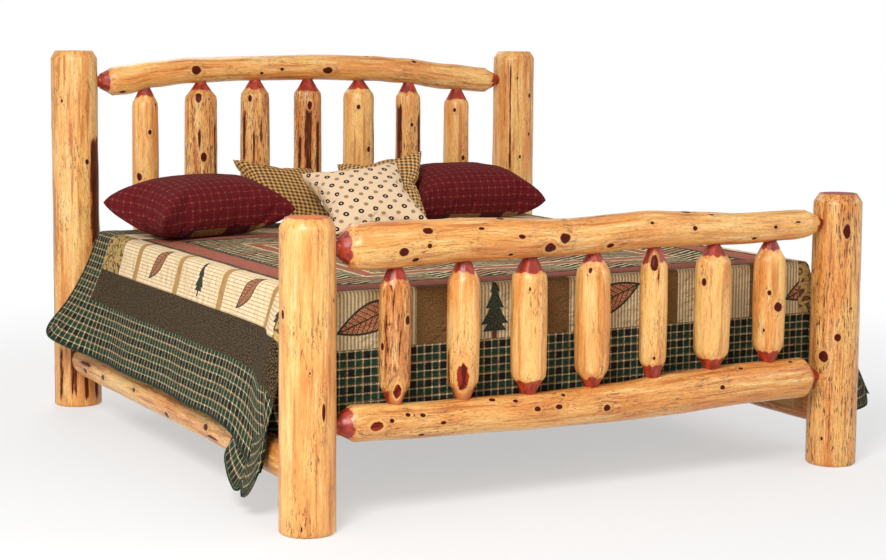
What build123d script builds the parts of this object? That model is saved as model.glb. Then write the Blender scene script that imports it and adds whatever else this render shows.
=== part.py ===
from build123d import *
import os

# Rustic king size log bed: two log-built ends, log side rails, a slatted deck with
# centre legs, a split box spring, a mattress, a quilt and five pillows.
# Millimetres. +Z is up, the floor is Z = 0, the foot of the bed faces -Y and the
# origin lies on the floor at the middle of the bed's length and width.

# ---------------------------------------------------------------- driving dimensions
# bedding
MATTRESS_WIDTH = 1930.0
MATTRESS_LENGTH = 2030.0
MATTRESS_HEIGHT = 265.0
MATTRESS_EDGE = 45.0            # rounding of the mattress's upright corners and rims
BASE_HEIGHT = 175.0             # low split box spring
BASE_EDGE = 18.0
BASE_SPLIT = 4.0                # gap between the two halves
QUILT_THICKNESS = 9.0
QUILT_SIDE_DROP = 450.0         # top of the quilt down to its side hem
QUILT_FOOT_DROP = 440.0
QUILT_CORNER_DROP = 632.0       # top of the quilt down to the hanging corner point
QUILT_HEM_OUT = 120.0           # how far the side hem stands out from the mattress
QUILT_FLARE = 225.0             # the same at the loose head corner
QUILT_FLARE_LIFT = 56.0         # how far that corner's hem is lifted
QUILT_FLARE_LENGTH = 507.0      # along the bed, from the head end of the quilt
QUILT_POINT_OUT = 162.0         # how far the hanging corner point stands out
QUILT_POINT_WIDTH = 169.0       # from that point to the hem, each way
QUILT_HEAD_MARGIN = 60.0        # bare mattress between the quilt and the headboard
THROW_SIDE = 410.0              # square pillow at the front
THROW_PLUMP = 125.0
CHECK_SIDE = 362.0              # two square pillows behind it
CHECK_PLUMP = 80.0
SHAM_WIDTH = 616.0              # two long bed pillows
SHAM_HEIGHT = 415.0
SHAM_PLUMP = 236.0

# logs
HEAD_POST_HEIGHT = 1416.0
HEAD_POST_RADIUS = 93.0
FOOT_POST_HEIGHT = 954.0
FOOT_POST_RADIUS = 87.0
POST_TAPER = 0.97               # top radius of a post as a share of its foot radius
POST_BEVEL = 16.0               # the beveled rim at a post's top, in from the side
POST_BEVEL_HEIGHT = 30.0
POST_FOOT_BEVEL = 6.0
HEAD_TOP_RAIL_Z = 1293.0        # height of the arched rail's ends
HEAD_ARCH_RISE = 55.5
HEAD_LOW_RAIL_Z = 500.0
FOOT_TOP_RAIL_Z = 857.0
FOOT_LOW_RAIL_Z = 305.0
RAIL_TENON_RADIUS = 23.0
RAIL_TENON_LENGTH = 70.0        # inside the post
RAIL_SHOULDER = 63.0            # where the pencilled end begins, out from the post
RAIL_NECK = 12.0                # bare neck between the pencilled end and the post
SIDE_RAIL_Z = 188.0
SIDE_RAIL_RADIUS = 57.0
SIDE_RAIL_FLAT = 40.0           # axis of a side rail to its milled inner face
SIDE_RAIL_SEAT = 12.0           # how deep a side rail's end sits in its post
SPINDLE_COUNT = 7
END_BAY_SHARE = 1.22            # outer bays, post axis to spindle, in spindle pitches
SPINDLE_TENON_RADIUS = 21.0
SPINDLE_TENON_LENGTH = 38.0     # inside the rail
SPINDLE_NECK = 7.0              # bare neck between the rail and the cone
SPINDLE_CONE = 60.0
SPINDLE_SHOULDER = 0.94         # radius where a cone begins, as a share of the thickest
HEAD_SPINDLE_RADII = [53.5, 67.5, 61.5, 59.5, 67.5, 55.0, 56.0]
FOOT_SPINDLE_RADII = [50.0, 52.0, 59.0, 58.0, 46.0, 61.5, 55.5]

# deck
CLEAT_SIZE = 38.0
CLEAT_RISE = 33.6               # a side rail's axis up to its cleat's top
TIMBER_CHAMFER = 2.4            # eased edges of the slats and legs
CLEAT_END_GAP = 24.0            # cleat's end to the post
SLAT_THICKNESS = 38.0
SLAT_WIDTH = 89.0
SLAT_COUNT = 5
SLAT_END_GAP = 3.0
SLAT_FOOT_INSET = 260.0         # mattress's foot end to the first slat's middle
SLAT_HEAD_INSET = 120.0
LEG_COUNT = 3                   # centre legs, under the slats nearest the head
LEG_SIZE = 45.0
GLIDE_RADIUS = 19.0
GLIDE_HEIGHT = 8.0
GLIDE_STEM_RADIUS = 4.0
GLIDE_STEM_LENGTH = 30.0

# bed-rail hooks and screws
PLATE_HEIGHT = 104.0
PLATE_WIDTH = 16.0
PLATE_THICKNESS = 3.0
HOOK_SPACING = 50.0
HOOK_WIDTH = 3.0
HOOK_REACH = 9.0
HOOK_ROOT = 7.0                 # height of the hook where it leaves its plate
HOOK_DROP = 7.0                 # how far the hook's tip hangs below its root
HOOK_TIP = 3.5
PLATE_SCREW_SPACING = 92.0
SCREW_RADIUS = 2.0
SCREW_HEAD_RADIUS = 4.0
SCREW_HEAD_HEIGHT = 2.4
PLATE_SCREW_LENGTH = 30.0
CLEAT_SCREW_LENGTH = 68.0
CLEAT_SCREW_COUNT = 7
SLAT_SCREW_LENGTH = 62.0
LEG_SCREW_SPREAD = 22.0         # between the two screws that hold each leg

# clearances
FOOT_GAP = 22.0                 # mattress to the thickest log of the footboard
HEAD_GAP = 8.0                  # mattress to the thickest spindle of the headboard
SIDE_GAP = 10.0                 # mattress to the side rails' inner faces
SOFT_GAP = 0.3                  # between soft pieces, and under them
BORE_CLEARANCE = 0.2            # around every tenon, stem and screw
BORE_RELIEF = 2.0               # past the end of every tenon, stem and screw

# Natural shape of each log: (share of the half length, rise, radius).
HEAD_TOP_LOG = [
    (-1.0, 0.02, 57.0), (-0.95, 0.12, 59.5), (-0.79, 0.52, 54.0), (-0.62, 0.77, 52.5),
    (-0.32, 0.92, 51.0), (0.0, 1.0, 53.5), (0.36, 0.88, 54.0), (0.5, 0.72, 54.0),
    (0.79, 0.22, 55.5), (1.0, -0.04, 54.0),
]                               # rise as a share of HEAD_ARCH_RISE
HEAD_LOW_LOG = [
    (-1.0, 0.0, 56.0), (-0.5, 3.0, 60.0), (0.0, -2.0, 62.0), (0.5, 2.0, 59.0), (1.0, 0.0, 57.0),
]
FOOT_TOP_LOG = [
    (-1.0, 0.0, 69.0), (-0.94, 0.5, 72.5), (-0.58, 4.0, 68.0), (-0.12, -5.0, 61.0),
    (0.23, 5.5, 62.5), (0.46, 0.5, 57.5), (0.69, -8.0, 54.0), (0.95, -5.0, 53.0), (1.0, -4.0, 50.0),
]
FOOT_LOW_LOG = [
    (-1.0, 13.0, 58.0), (-0.66, 1.5, 57.5), (-0.23, -6.5, 59.5), (0.12, -6.5, 63.5),
    (0.38, 0.0, 70.0), (0.73, 10.5, 69.5), (1.0, 12.5, 69.0),
]

# Pillows: X of the pillow's middle, its distance from the mattress's head end,
# then its lean back from flat, its turn and its roll in degrees.
PILLOW_PLACES = {
    "pillow_dotted": (-2.5, 481.0, 33.0, -17.0, 11.0),
    "pillow_check_left": (-200.0, 138.5, 38.0, 10.0, -12.0),
    "pillow_check_right": (149.5, 315.0, 44.0, -42.0, 13.0),
    "pillow_sham_left": (-655.0, 356.5, 6.0, 4.0, 10.0),
    "pillow_sham_right": (577.5, 212.5, 8.5, 5.5, -3.0),
}

# ---------------------------------------------------------------- derived places
thickest_foot = max(radius for _, _, radius in FOOT_TOP_LOG + FOOT_LOW_LOG)
thickest_head = max(HEAD_SPINDLE_RADII)
post_span = thickest_foot + FOOT_GAP + MATTRESS_LENGTH + HEAD_GAP + thickest_head
overall_length = FOOT_POST_RADIUS + post_span + HEAD_POST_RADIUS
foot_y = FOOT_POST_RADIUS - overall_length / 2
head_y = overall_length / 2 - HEAD_POST_RADIUS
mattress_foot_y = foot_y + thickest_foot + FOOT_GAP
mattress_head_y = mattress_foot_y + MATTRESS_LENGTH

rail_inner_x = MATTRESS_WIDTH / 2 + SIDE_GAP
post_x = rail_inner_x + SIDE_RAIL_FLAT
spindle_pitch = 2 * post_x / (SPINDLE_COUNT - 1 + 2 * END_BAY_SHARE)
spindle_xs = [(i - (SPINDLE_COUNT - 1) / 2) * spindle_pitch for i in range(SPINDLE_COUNT)]

cleat_top_z = SIDE_RAIL_Z + CLEAT_RISE
slat_top_z = cleat_top_z + SLAT_THICKNESS
base_top_z = slat_top_z + BASE_HEIGHT
mattress_bottom_z = base_top_z + SOFT_GAP
mattress_top_z = mattress_bottom_z + MATTRESS_HEIGHT
quilt_top_z = mattress_top_z + SOFT_GAP + QUILT_THICKNESS
side_rail_foot_y = foot_y + FOOT_POST_RADIUS - SIDE_RAIL_SEAT
side_rail_head_y = head_y - HEAD_POST_RADIUS + SIDE_RAIL_SEAT

slat_first_y = mattress_foot_y + SLAT_FOOT_INSET
slat_last_y = mattress_head_y - SLAT_HEAD_INSET
slat_ys = [slat_first_y + i * (slat_last_y - slat_first_y) / (SLAT_COUNT - 1) for i in range(SLAT_COUNT)]
leg_ys = slat_ys[-LEG_COUNT:]


# ---------------------------------------------------------------- shared helpers
def disc(radius, plane):
    """A round section of a log, as a face on the given plane."""
    return plane * Circle(radius)


def upright_cylinder(radius, low, high, x=0.0, y=0.0):
    return Pos(x, y, (low + high) / 2) * Cylinder(radius, high - low)


def level_cylinder(radius, start, end, y, z):
    """A cylinder along X from start to end."""
    return Pos((start + end) / 2, y, z) * Rot(0, 90, 0) * Cylinder(radius, abs(end - start))


def box_between(low, high):
    """A box from its low corner to its high corner."""
    size = [b - a for a, b in zip(low, high)]
    middle = [(a + b) / 2 for a, b in zip(low, high)]
    return Pos(*middle) * Box(*size)


def along_log(log, share, column):
    """A log's rise (column 1) or radius (column 2) at a share of its half length."""
    for here, after in zip(log, log[1:]):
        if share <= after[0]:
            blend = (share - here[0]) / (after[0] - here[0])
            return here[column] + blend * (after[column] - here[column])
    return log[-1][column]


def screw(length):
    """Countersunk screw, head face at Z = 0, pointing down."""
    head = Pos(0, 0, -SCREW_HEAD_HEIGHT / 2) * Cone(SCREW_RADIUS, SCREW_HEAD_RADIUS, SCREW_HEAD_HEIGHT)
    return head + upright_cylinder(SCREW_RADIUS, -length, -SCREW_HEAD_HEIGHT)


def screw_hole(length):
    """The countersunk hole that clears a screw of this length."""
    rim = SCREW_HEAD_RADIUS + BORE_CLEARANCE
    bore = SCREW_RADIUS + BORE_CLEARANCE
    sink = Pos(0, 0, -SCREW_HEAD_HEIGHT / 2) * Cone(bore, rim, SCREW_HEAD_HEIGHT)
    return sink + upright_cylinder(bore, -length - BORE_RELIEF, -SCREW_HEAD_HEIGHT)


# ---------------------------------------------------------------- rails of the two ends
class EndRail:
    """A log rail between two posts, with pencilled ends and round tenons."""

    def __init__(self, log, rise_unit, y, z, post_radius):
        self.log = [(share, rise * rise_unit, radius) for share, rise, radius in log]
        self.y = y
        self.z = z
        self.post_face = post_x - post_radius
        self.half_body = self.post_face - RAIL_SHOULDER
        self.half_neck = self.post_face - RAIL_NECK
        self.half_tenon = self.post_face + RAIL_TENON_LENGTH

    def middle_z(self, x):
        return self.z + along_log(self.log, x / self.half_body, 1)

    def radius(self, x):
        return along_log(self.log, x / self.half_body, 2)

    def top(self, x):
        return self.middle_z(x) + self.radius(x)

    def bottom(self, x):
        return self.middle_z(x) - self.radius(x)

    def end_z(self, side):
        return self.middle_z(side * self.half_body)

    def section(self, x, radius, z):
        return disc(radius, Plane(origin=(x, self.y, z), x_dir=(0, 1, 0), z_dir=(1, 0, 0)))

    def solid(self):
        sections = [
            self.section(share * self.half_body, radius, self.z + rise)
            for share, rise, radius in self.log
        ]
        rail = loft(sections)
        for side in (-1, 1):
            end_z = self.end_z(side)
            full = self.section(side * self.half_body, self.radius(side * self.half_body), end_z)
            neck = self.section(side * self.half_neck, RAIL_TENON_RADIUS, end_z)
            rail += loft([full, neck], ruled=True)
            rail += level_cylinder(
                RAIL_TENON_RADIUS, side * self.half_neck, side * self.half_tenon, self.y, end_z
            )
        return rail

    def mortise(self, side):
        """The blind bore in a post that takes this rail's tenon."""
        return level_cylinder(
            RAIL_TENON_RADIUS + BORE_CLEARANCE,
            side * (self.half_neck - RAIL_NECK),
            side * (self.half_tenon + BORE_RELIEF),
            self.y,
            self.end_z(side),
        )


def spindle(rail_below, rail_above, x, radius):
    """A half log with a cone and a round tenon at each end."""
    low = rail_below.top(x)
    high = rail_above.bottom(x)
    low_cone = low + SPINDLE_NECK
    high_cone = high - SPINDLE_NECK
    low_body = low_cone + SPINDLE_CONE
    high_body = high_cone - SPINDLE_CONE
    shoulder = SPINDLE_SHOULDER * radius
    with BuildPart() as made:
        with BuildSketch(Plane.XZ):
            with BuildLine():
                Polyline(
                    (0, low - SPINDLE_TENON_LENGTH),
                    (SPINDLE_TENON_RADIUS, low - SPINDLE_TENON_LENGTH),
                    (SPINDLE_TENON_RADIUS, low_cone),
                    (shoulder, low_body),
                )
                ThreePointArc((shoulder, low_body), (radius, (low_body + high_body) / 2), (shoulder, high_body))
                Polyline(
                    (shoulder, high_body),
                    (SPINDLE_TENON_RADIUS, high_cone),
                    (SPINDLE_TENON_RADIUS, high + SPINDLE_TENON_LENGTH),
                    (0, high + SPINDLE_TENON_LENGTH),
                    (0, low - SPINDLE_TENON_LENGTH),
                )
            make_face()
        revolve(axis=Axis.Z)
    return Pos(x, rail_below.y, 0) * made.part


def bore_for_spindles(rail_solid, rail, upper):
    """Blind holes for the spindle tenons, from the rail's top or bottom side."""
    reach = SPINDLE_TENON_LENGTH + BORE_RELIEF
    radius = SPINDLE_TENON_RADIUS + BORE_CLEARANCE
    for x in spindle_xs:
        if upper:
            low, high = rail.middle_z(x) - rail.radius(x) - SPINDLE_NECK, rail.bottom(x) + reach
        else:
            low, high = rail.top(x) - reach, rail.top(x) + SPINDLE_NECK
        rail_solid -= upright_cylinder(radius, low, high, x, rail.y)
    return rail_solid


# ---------------------------------------------------------------- posts
def post(x, y, height, radius, end_rails):
    """A peeled log, slightly tapered, beveled at the top and eased at the floor."""
    top_radius = radius * POST_TAPER
    bevel_z = height - POST_BEVEL_HEIGHT
    body = loft([
        disc(radius, Plane.XY.offset(POST_FOOT_BEVEL)),
        disc(top_radius, Plane.XY.offset(bevel_z)),
    ], ruled=True)
    foot = loft([
        disc(radius - POST_FOOT_BEVEL, Plane.XY),
        disc(radius, Plane.XY.offset(POST_FOOT_BEVEL)),
    ], ruled=True)
    rim = loft([
        disc(top_radius, Plane.XY.offset(bevel_z)),
        disc(top_radius - POST_BEVEL, Plane.XY.offset(height)),
    ], ruled=True)
    log = Pos(x, y, 0) * (body + foot + rim)
    side = 1 if x > 0 else -1
    for rail in end_rails:
        log -= rail.mortise(side)
    return log


# ---------------------------------------------------------------- side rails and hooks
def rail_section(side, y, grow=0.0):
    """The D-shaped section of a side rail at this Y, grown all round if asked."""
    plane = Plane(origin=(side * post_x, y, SIDE_RAIL_Z), x_dir=(1, 0, 0), z_dir=(0, -1, 0))
    round_part = Circle(SIDE_RAIL_RADIUS + grow)
    reach = 3 * SIDE_RAIL_RADIUS
    waste = Pos(-side * (SIDE_RAIL_FLAT + grow + reach / 2), 0) * Rectangle(reach, reach)
    return plane * (round_part - waste)


def side_rail(side):
    return loft([rail_section(side, side_rail_foot_y), rail_section(side, side_rail_head_y)], ruled=True)


def rail_seat(side, seat_y, way):
    """The shallow pocket in a post that takes a side rail's end."""
    return loft([
        rail_section(side, seat_y - way * BORE_CLEARANCE, BORE_CLEARANCE),
        rail_section(side, seat_y + way * 2 * SIDE_RAIL_RADIUS, BORE_CLEARANCE),
    ], ruled=True)


def plate_screw_heights(middle):
    return [-PLATE_SCREW_SPACING / 2, middle, PLATE_SCREW_SPACING / 2]


def hook_heights():
    return [-HOOK_SPACING / 2, HOOK_SPACING / 2]


RECEIVER_SCREW_MIDDLE = HOOK_DROP / 2        # clear of the slots


def hooks(grow=0.0):
    """Both hooks of a plate whose face is Y = 0, reaching towards -Y."""
    made = []
    for z in hook_heights():
        profile = Polyline(
            (grow, z + HOOK_ROOT / 2 + grow),
            (-HOOK_REACH - grow, z + HOOK_ROOT / 2 + grow),
            (-HOOK_REACH - grow, z - HOOK_ROOT / 2 - HOOK_DROP - grow),
            (-HOOK_REACH + HOOK_TIP + grow, z - HOOK_ROOT / 2 - HOOK_DROP - grow),
            (-HOOK_REACH + HOOK_TIP + grow, z - HOOK_ROOT / 2 - grow),
            (grow, z - HOOK_ROOT / 2 - grow),
            close=True,
        )
        face = Plane.YZ.offset(-HOOK_WIDTH / 2 - grow) * make_face(profile)
        made.append(extrude(face, HOOK_WIDTH + 2 * grow, dir=(1, 0, 0)))
    return made


def hook_plate():
    """Plate let into the rail's end grain, its face on Y = 0, hooks towards -Y."""
    half_x, half_z = PLATE_WIDTH / 2, PLATE_HEIGHT / 2
    plate = box_between((-half_x, 0, -half_z), (half_x, PLATE_THICKNESS, half_z))
    for hook in hooks():
        plate += hook
    for z in plate_screw_heights(0.0):
        plate -= Pos(0, 0, z) * Rot(90, 0, 0) * screw_hole(PLATE_SCREW_LENGTH)
    return plate


def receiver_plate():
    """Slotted plate let into the post's seat, its face on Y = -2 clearances."""
    half_x, half_z = PLATE_WIDTH / 2, PLATE_HEIGHT / 2
    face = -2 * BORE_CLEARANCE
    plate = box_between((-half_x, face - PLATE_THICKNESS, -half_z), (half_x, face, half_z))
    slot_x = HOOK_WIDTH / 2 + BORE_CLEARANCE
    for z in hook_heights():
        low = z - HOOK_ROOT / 2 - BORE_CLEARANCE
        high = low + HOOK_ROOT + HOOK_DROP + 3 * BORE_CLEARANCE
        plate -= box_between((-slot_x, face - 2 * PLATE_THICKNESS, low), (slot_x, PLATE_THICKNESS, high))
    for z in plate_screw_heights(RECEIVER_SCREW_MIDDLE):
        plate -= Pos(0, face, z) * Rot(-90, 0, 0) * screw_hole(PLATE_SCREW_LENGTH)
    return plate


def plate_screws():
    """The screws of one hook plate and its receiver."""
    rail_screws = [
        Pos(0, 0, z) * Rot(90, 0, 0) * screw(PLATE_SCREW_LENGTH) for z in plate_screw_heights(0.0)
    ]
    post_screws = [
        Pos(0, -2 * BORE_CLEARANCE, z) * Rot(-90, 0, 0) * screw(PLATE_SCREW_LENGTH)
        for z in plate_screw_heights(RECEIVER_SCREW_MIDDLE)
    ]
    return rail_screws + post_screws


def plate_pocket(low_y, high_y):
    half_x = PLATE_WIDTH / 2 + BORE_CLEARANCE
    half_z = PLATE_HEIGHT / 2 + BORE_CLEARANCE
    return box_between((-half_x, low_y, -half_z), (half_x, high_y, half_z))


def rail_end_cuts():
    """What a rail's end loses to its hook plate and screws."""
    cuts = [plate_pocket(-PLATE_THICKNESS, PLATE_THICKNESS + BORE_CLEARANCE)]
    for z in plate_screw_heights(0.0):
        cuts.append(Pos(0, 0, z) * Rot(90, 0, 0) * screw_hole(PLATE_SCREW_LENGTH))
    return cuts


def post_seat_cuts():
    """What a post's seat loses to its receiver plate, hooks and screws."""
    face = -2 * BORE_CLEARANCE
    cuts = [plate_pocket(face - PLATE_THICKNESS - BORE_CLEARANCE, PLATE_THICKNESS)]
    for z in plate_screw_heights(RECEIVER_SCREW_MIDDLE):
        cuts.append(Pos(0, face, z) * Rot(-90, 0, 0) * screw_hole(PLATE_SCREW_LENGTH))
    half_x = HOOK_WIDTH / 2 + 4 * BORE_CLEARANCE
    half_z = HOOK_SPACING / 2 + HOOK_ROOT + HOOK_DROP
    cuts.append(box_between((-half_x, -HOOK_REACH - BORE_RELIEF, -half_z), (half_x, 0, half_z)))
    return cuts


def joint_places():
    """Each rail-to-post joint: side, where its hook plate's face is, and its turn."""
    return [
        (side, Pos(side * post_x, seat_y, SIDE_RAIL_Z) * Rot(0, 0, turn), end)
        for side in (-1, 1)
        for seat_y, turn, end in ((side_rail_foot_y, 0, "foot"), (side_rail_head_y, 180, "head"))
    ]


# ---------------------------------------------------------------- deck
def cleat_ends():
    low = foot_y + FOOT_POST_RADIUS + CLEAT_END_GAP
    high = head_y - HEAD_POST_RADIUS - CLEAT_END_GAP
    return low, high


def cleat(side):
    low, high = cleat_ends()
    inner = side * (rail_inner_x - CLEAT_SIZE)
    xs = sorted((side * rail_inner_x, inner))
    return box_between((xs[0], low, cleat_top_z - CLEAT_SIZE), (xs[1], high, cleat_top_z))


def cleat_screw_places(side):
    """Screws through the cleat, square to the rail's flat inner face."""
    low, high = cleat_ends()
    step = (high - low) / CLEAT_SCREW_COUNT
    face_x = side * (rail_inner_x - CLEAT_SIZE)
    z = cleat_top_z - CLEAT_SIZE / 2
    turn = Rot(0, -side * 90, 0)
    return [Pos(face_x, low + (i + 0.5) * step, z) * turn for i in range(CLEAT_SCREW_COUNT)]


def slat_screw_places(y):
    """One screw down through each end of a slat into its cleat."""
    x = rail_inner_x - CLEAT_SIZE / 2
    return [Pos(side * x, y + SLAT_WIDTH / 4, slat_top_z) for side in (-1, 1)]


def leg_screw_places(y):
    return [Pos(side * LEG_SCREW_SPREAD / 2, y, slat_top_z) for side in (-1, 1)]


def slat(y):
    half_length = rail_inner_x - SLAT_END_GAP
    board = box_between(
        (-half_length, y - SLAT_WIDTH / 2, cleat_top_z), (half_length, y + SLAT_WIDTH / 2, slat_top_z)
    )
    return chamfer(board.edges().filter_by(Axis.X), TIMBER_CHAMFER)


def leg(y):
    half = LEG_SIZE / 2
    post_block = box_between((-half, y - half, GLIDE_HEIGHT), (half, y + half, cleat_top_z))
    post_block = chamfer(post_block.edges().filter_by(Axis.Z), TIMBER_CHAMFER)
    stem_top = GLIDE_HEIGHT + GLIDE_STEM_LENGTH + BORE_RELIEF
    return post_block - upright_cylinder(GLIDE_STEM_RADIUS + BORE_CLEARANCE, 0, stem_top, 0, y)


def glide(y):
    stem_top = GLIDE_HEIGHT + GLIDE_STEM_LENGTH
    return (
        upright_cylinder(GLIDE_RADIUS, 0, GLIDE_HEIGHT, 0, y)
        + upright_cylinder(GLIDE_STEM_RADIUS, GLIDE_HEIGHT, stem_top, 0, y)
    )


# ---------------------------------------------------------------- mattress and bedding
def box_spring(side):
    xs = sorted((side * BASE_SPLIT / 2, side * MATTRESS_WIDTH / 2))
    block = box_between((xs[0], mattress_foot_y, slat_top_z), (xs[1], mattress_head_y, base_top_z))
    return fillet(block.edges().filter_by(Axis.Z), BASE_EDGE)


def mattress():
    half = MATTRESS_WIDTH / 2
    block = box_between(
        (-half, mattress_foot_y, mattress_bottom_z), (half, mattress_head_y, mattress_top_z)
    )
    block = fillet(block.edges().filter_by(Axis.Z), MATTRESS_EDGE)
    rims = block.edges().filter_by(Plane.XY)
    return fillet(rims, MATTRESS_EDGE / 2)


def quilt_side_section(side, y, hem_z, out):
    """The side drop's section at this Y: a thin band from the top down to its hem."""
    top_x = MATTRESS_WIDTH / 2 + SOFT_GAP
    inner_top = mattress_top_z + SOFT_GAP
    points = [
        (side * top_x, inner_top),
        (side * (MATTRESS_WIDTH / 2 + out - QUILT_THICKNESS), hem_z),
        (side * (MATTRESS_WIDTH / 2 + out), hem_z),
        (side * (top_x + QUILT_THICKNESS), quilt_top_z - QUILT_THICKNESS / 2),
        (side * (top_x - QUILT_THICKNESS), quilt_top_z),
        (side * (top_x - QUILT_THICKNESS), inner_top),
    ]
    plane = Plane(origin=(0, y, 0), x_dir=(1, 0, 0), z_dir=(0, -1, 0))
    return plane * make_face(Polyline(*points, close=True))


def quilt():
    """Top, foot drop and two flaring side drops with a hanging point at each foot corner."""
    head_end = mattress_head_y - QUILT_HEAD_MARGIN
    foot_inner = mattress_foot_y - SOFT_GAP
    foot_outer = foot_inner - QUILT_THICKNESS
    half = MATTRESS_WIDTH / 2 + SOFT_GAP
    hem_z = quilt_top_z - QUILT_SIDE_DROP
    point_z = quilt_top_z - QUILT_CORNER_DROP
    stations = [
        (foot_inner - QUILT_THICKNESS / 4, hem_z, QUILT_POINT_OUT),
        (foot_inner + QUILT_POINT_WIDTH, point_z, QUILT_POINT_OUT),
        (foot_inner + 2 * QUILT_POINT_WIDTH, hem_z, QUILT_HEM_OUT),
        (head_end - QUILT_FLARE_LENGTH, hem_z, QUILT_HEM_OUT),
        (head_end, hem_z + QUILT_FLARE_LIFT, QUILT_FLARE),
    ]
    top = box_between(
        (-half, foot_outer, mattress_top_z + SOFT_GAP), (half, head_end, quilt_top_z)
    )
    foot = box_between(
        (-half, foot_outer, quilt_top_z - QUILT_FOOT_DROP), (half, foot_inner, quilt_top_z)
    )
    made = top + foot
    for side in (-1, 1):
        made += loft([quilt_side_section(side, *station) for station in stations], ruled=True)
    return made


# Sections of a pillow: (height as a share of its plumpness, size, pull of its sides).
PILLOW_SECTIONS = [
    (-0.5, 0.30, -0.08), (-0.33, 0.74, -0.04), (0.0, 1.0, 0.035), (0.33, 0.74, -0.04), (0.5, 0.30, -0.08),
]


def pillow_outline(width, height, scale, pull):
    """Four corners joined by arcs that pull in (or swell out, if pull is negative)."""
    half_w, half_h = scale * width / 2, scale * height / 2
    corners = [(half_w, -half_h), (half_w, half_h), (-half_w, half_h), (-half_w, -half_h)]
    middles = [(half_w - pull, 0), (0, half_h - pull), (pull - half_w, 0), (0, pull - half_h)]
    edges = [
        ThreePointArc(corners[i], middles[i], corners[(i + 1) % 4]) for i in range(4)
    ]
    return make_face(edges)


def pillow(width, height, plump):
    """A knife-edged pillow lying flat, its seam on Z = 0."""
    return loft([
        Plane.XY.offset(lift * plump) * pillow_outline(width, height, scale, pull * height)
        for lift, scale, pull in PILLOW_SECTIONS
    ])


def place_pillow(flat, place):
    x, head_inset, lean, turn, roll = place
    posed = Rot(0, 0, turn) * Rot(lean, 0, 0) * Rot(0, 0, roll) * flat
    rest_z = quilt_top_z + SOFT_GAP - posed.bounding_box().min.Z
    return Pos(x, mattress_head_y - head_inset, rest_z) * posed


# ---------------------------------------------------------------- the assembly
head_top_rail = EndRail(HEAD_TOP_LOG, HEAD_ARCH_RISE, head_y, HEAD_TOP_RAIL_Z, HEAD_POST_RADIUS)
head_low_rail = EndRail(HEAD_LOW_LOG, 1.0, head_y, HEAD_LOW_RAIL_Z, HEAD_POST_RADIUS)
foot_top_rail = EndRail(FOOT_TOP_LOG, 1.0, foot_y, FOOT_TOP_RAIL_Z, FOOT_POST_RADIUS)
foot_low_rail = EndRail(FOOT_LOW_LOG, 1.0, foot_y, FOOT_LOW_RAIL_Z, FOOT_POST_RADIUS)


def build_end(name, rails, height, radius, spindle_radii, y):
    """Posts, rails and spindles of the headboard or the footboard."""
    low_rail, top_rail = rails
    made = {
        f"{name}_top_rail": bore_for_spindles(top_rail.solid(), top_rail, True),
        f"{name}_bottom_rail": bore_for_spindles(low_rail.solid(), low_rail, False),
        f"{name}_post_left": post(-post_x, y, height, radius, rails),
        f"{name}_post_right": post(post_x, y, height, radius, rails),
    }
    for i, (x, spindle_radius) in enumerate(zip(spindle_xs, spindle_radii)):
        made[f"{name}_spindle_{i + 1}"] = spindle(low_rail, top_rail, x, spindle_radius)
    return made


nodes = build_end("headboard", (head_low_rail, head_top_rail), HEAD_POST_HEIGHT, HEAD_POST_RADIUS,
                  HEAD_SPINDLE_RADII, head_y)
nodes.update(build_end("footboard", (foot_low_rail, foot_top_rail), FOOT_POST_HEIGHT, FOOT_POST_RADIUS,
                       FOOT_SPINDLE_RADII, foot_y))

hook_plates, receivers, hook_screws = [], [], []
sides = {-1: "left", 1: "right"}
for side, word in sides.items():
    nodes[f"side_rail_{word}"] = side_rail(side)
    nodes[f"rail_cleat_{word}"] = cleat(side)
    nodes[f"box_spring_{word}"] = box_spring(side)

for side, place, end in joint_places():
    seat_y, way = (side_rail_foot_y, 1) if end == "foot" else (side_rail_head_y, -1)
    board, word = ("footboard" if end == "foot" else "headboard"), sides[side]
    nodes[f"{board}_post_{word}"] -= rail_seat(side, seat_y, way)
    for cut in post_seat_cuts():
        nodes[f"{board}_post_{word}"] -= place * cut
    for cut in rail_end_cuts():
        nodes[f"side_rail_{word}"] -= place * cut
    hook_plates.append(place * hook_plate())
    receivers.append(place * receiver_plate())
    hook_screws += [place * one for one in plate_screws()]

cleat_screws = []
for side, word in sides.items():
    for place in cleat_screw_places(side):
        hole = place * screw_hole(CLEAT_SCREW_LENGTH)
        nodes[f"rail_cleat_{word}"] -= hole
        nodes[f"side_rail_{word}"] -= hole
        cleat_screws.append(place * screw(CLEAT_SCREW_LENGTH))

slat_screws, leg_screws = [], []
for i, y in enumerate(slat_ys):
    board = slat(y)
    for place, word in zip(slat_screw_places(y), ("left", "right")):
        hole = place * screw_hole(SLAT_SCREW_LENGTH)
        board -= hole
        nodes[f"rail_cleat_{word}"] -= hole
        slat_screws.append(place * screw(SLAT_SCREW_LENGTH))
    if y in leg_ys:
        support = leg(y)
        for place in leg_screw_places(y):
            hole = place * screw_hole(SLAT_SCREW_LENGTH)
            board -= hole
            support -= hole
            leg_screws.append(place * screw(SLAT_SCREW_LENGTH))
        nodes[f"centre_leg_{leg_ys.index(y) + 1}"] = support
    nodes[f"slat_{i + 1}"] = board

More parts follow.
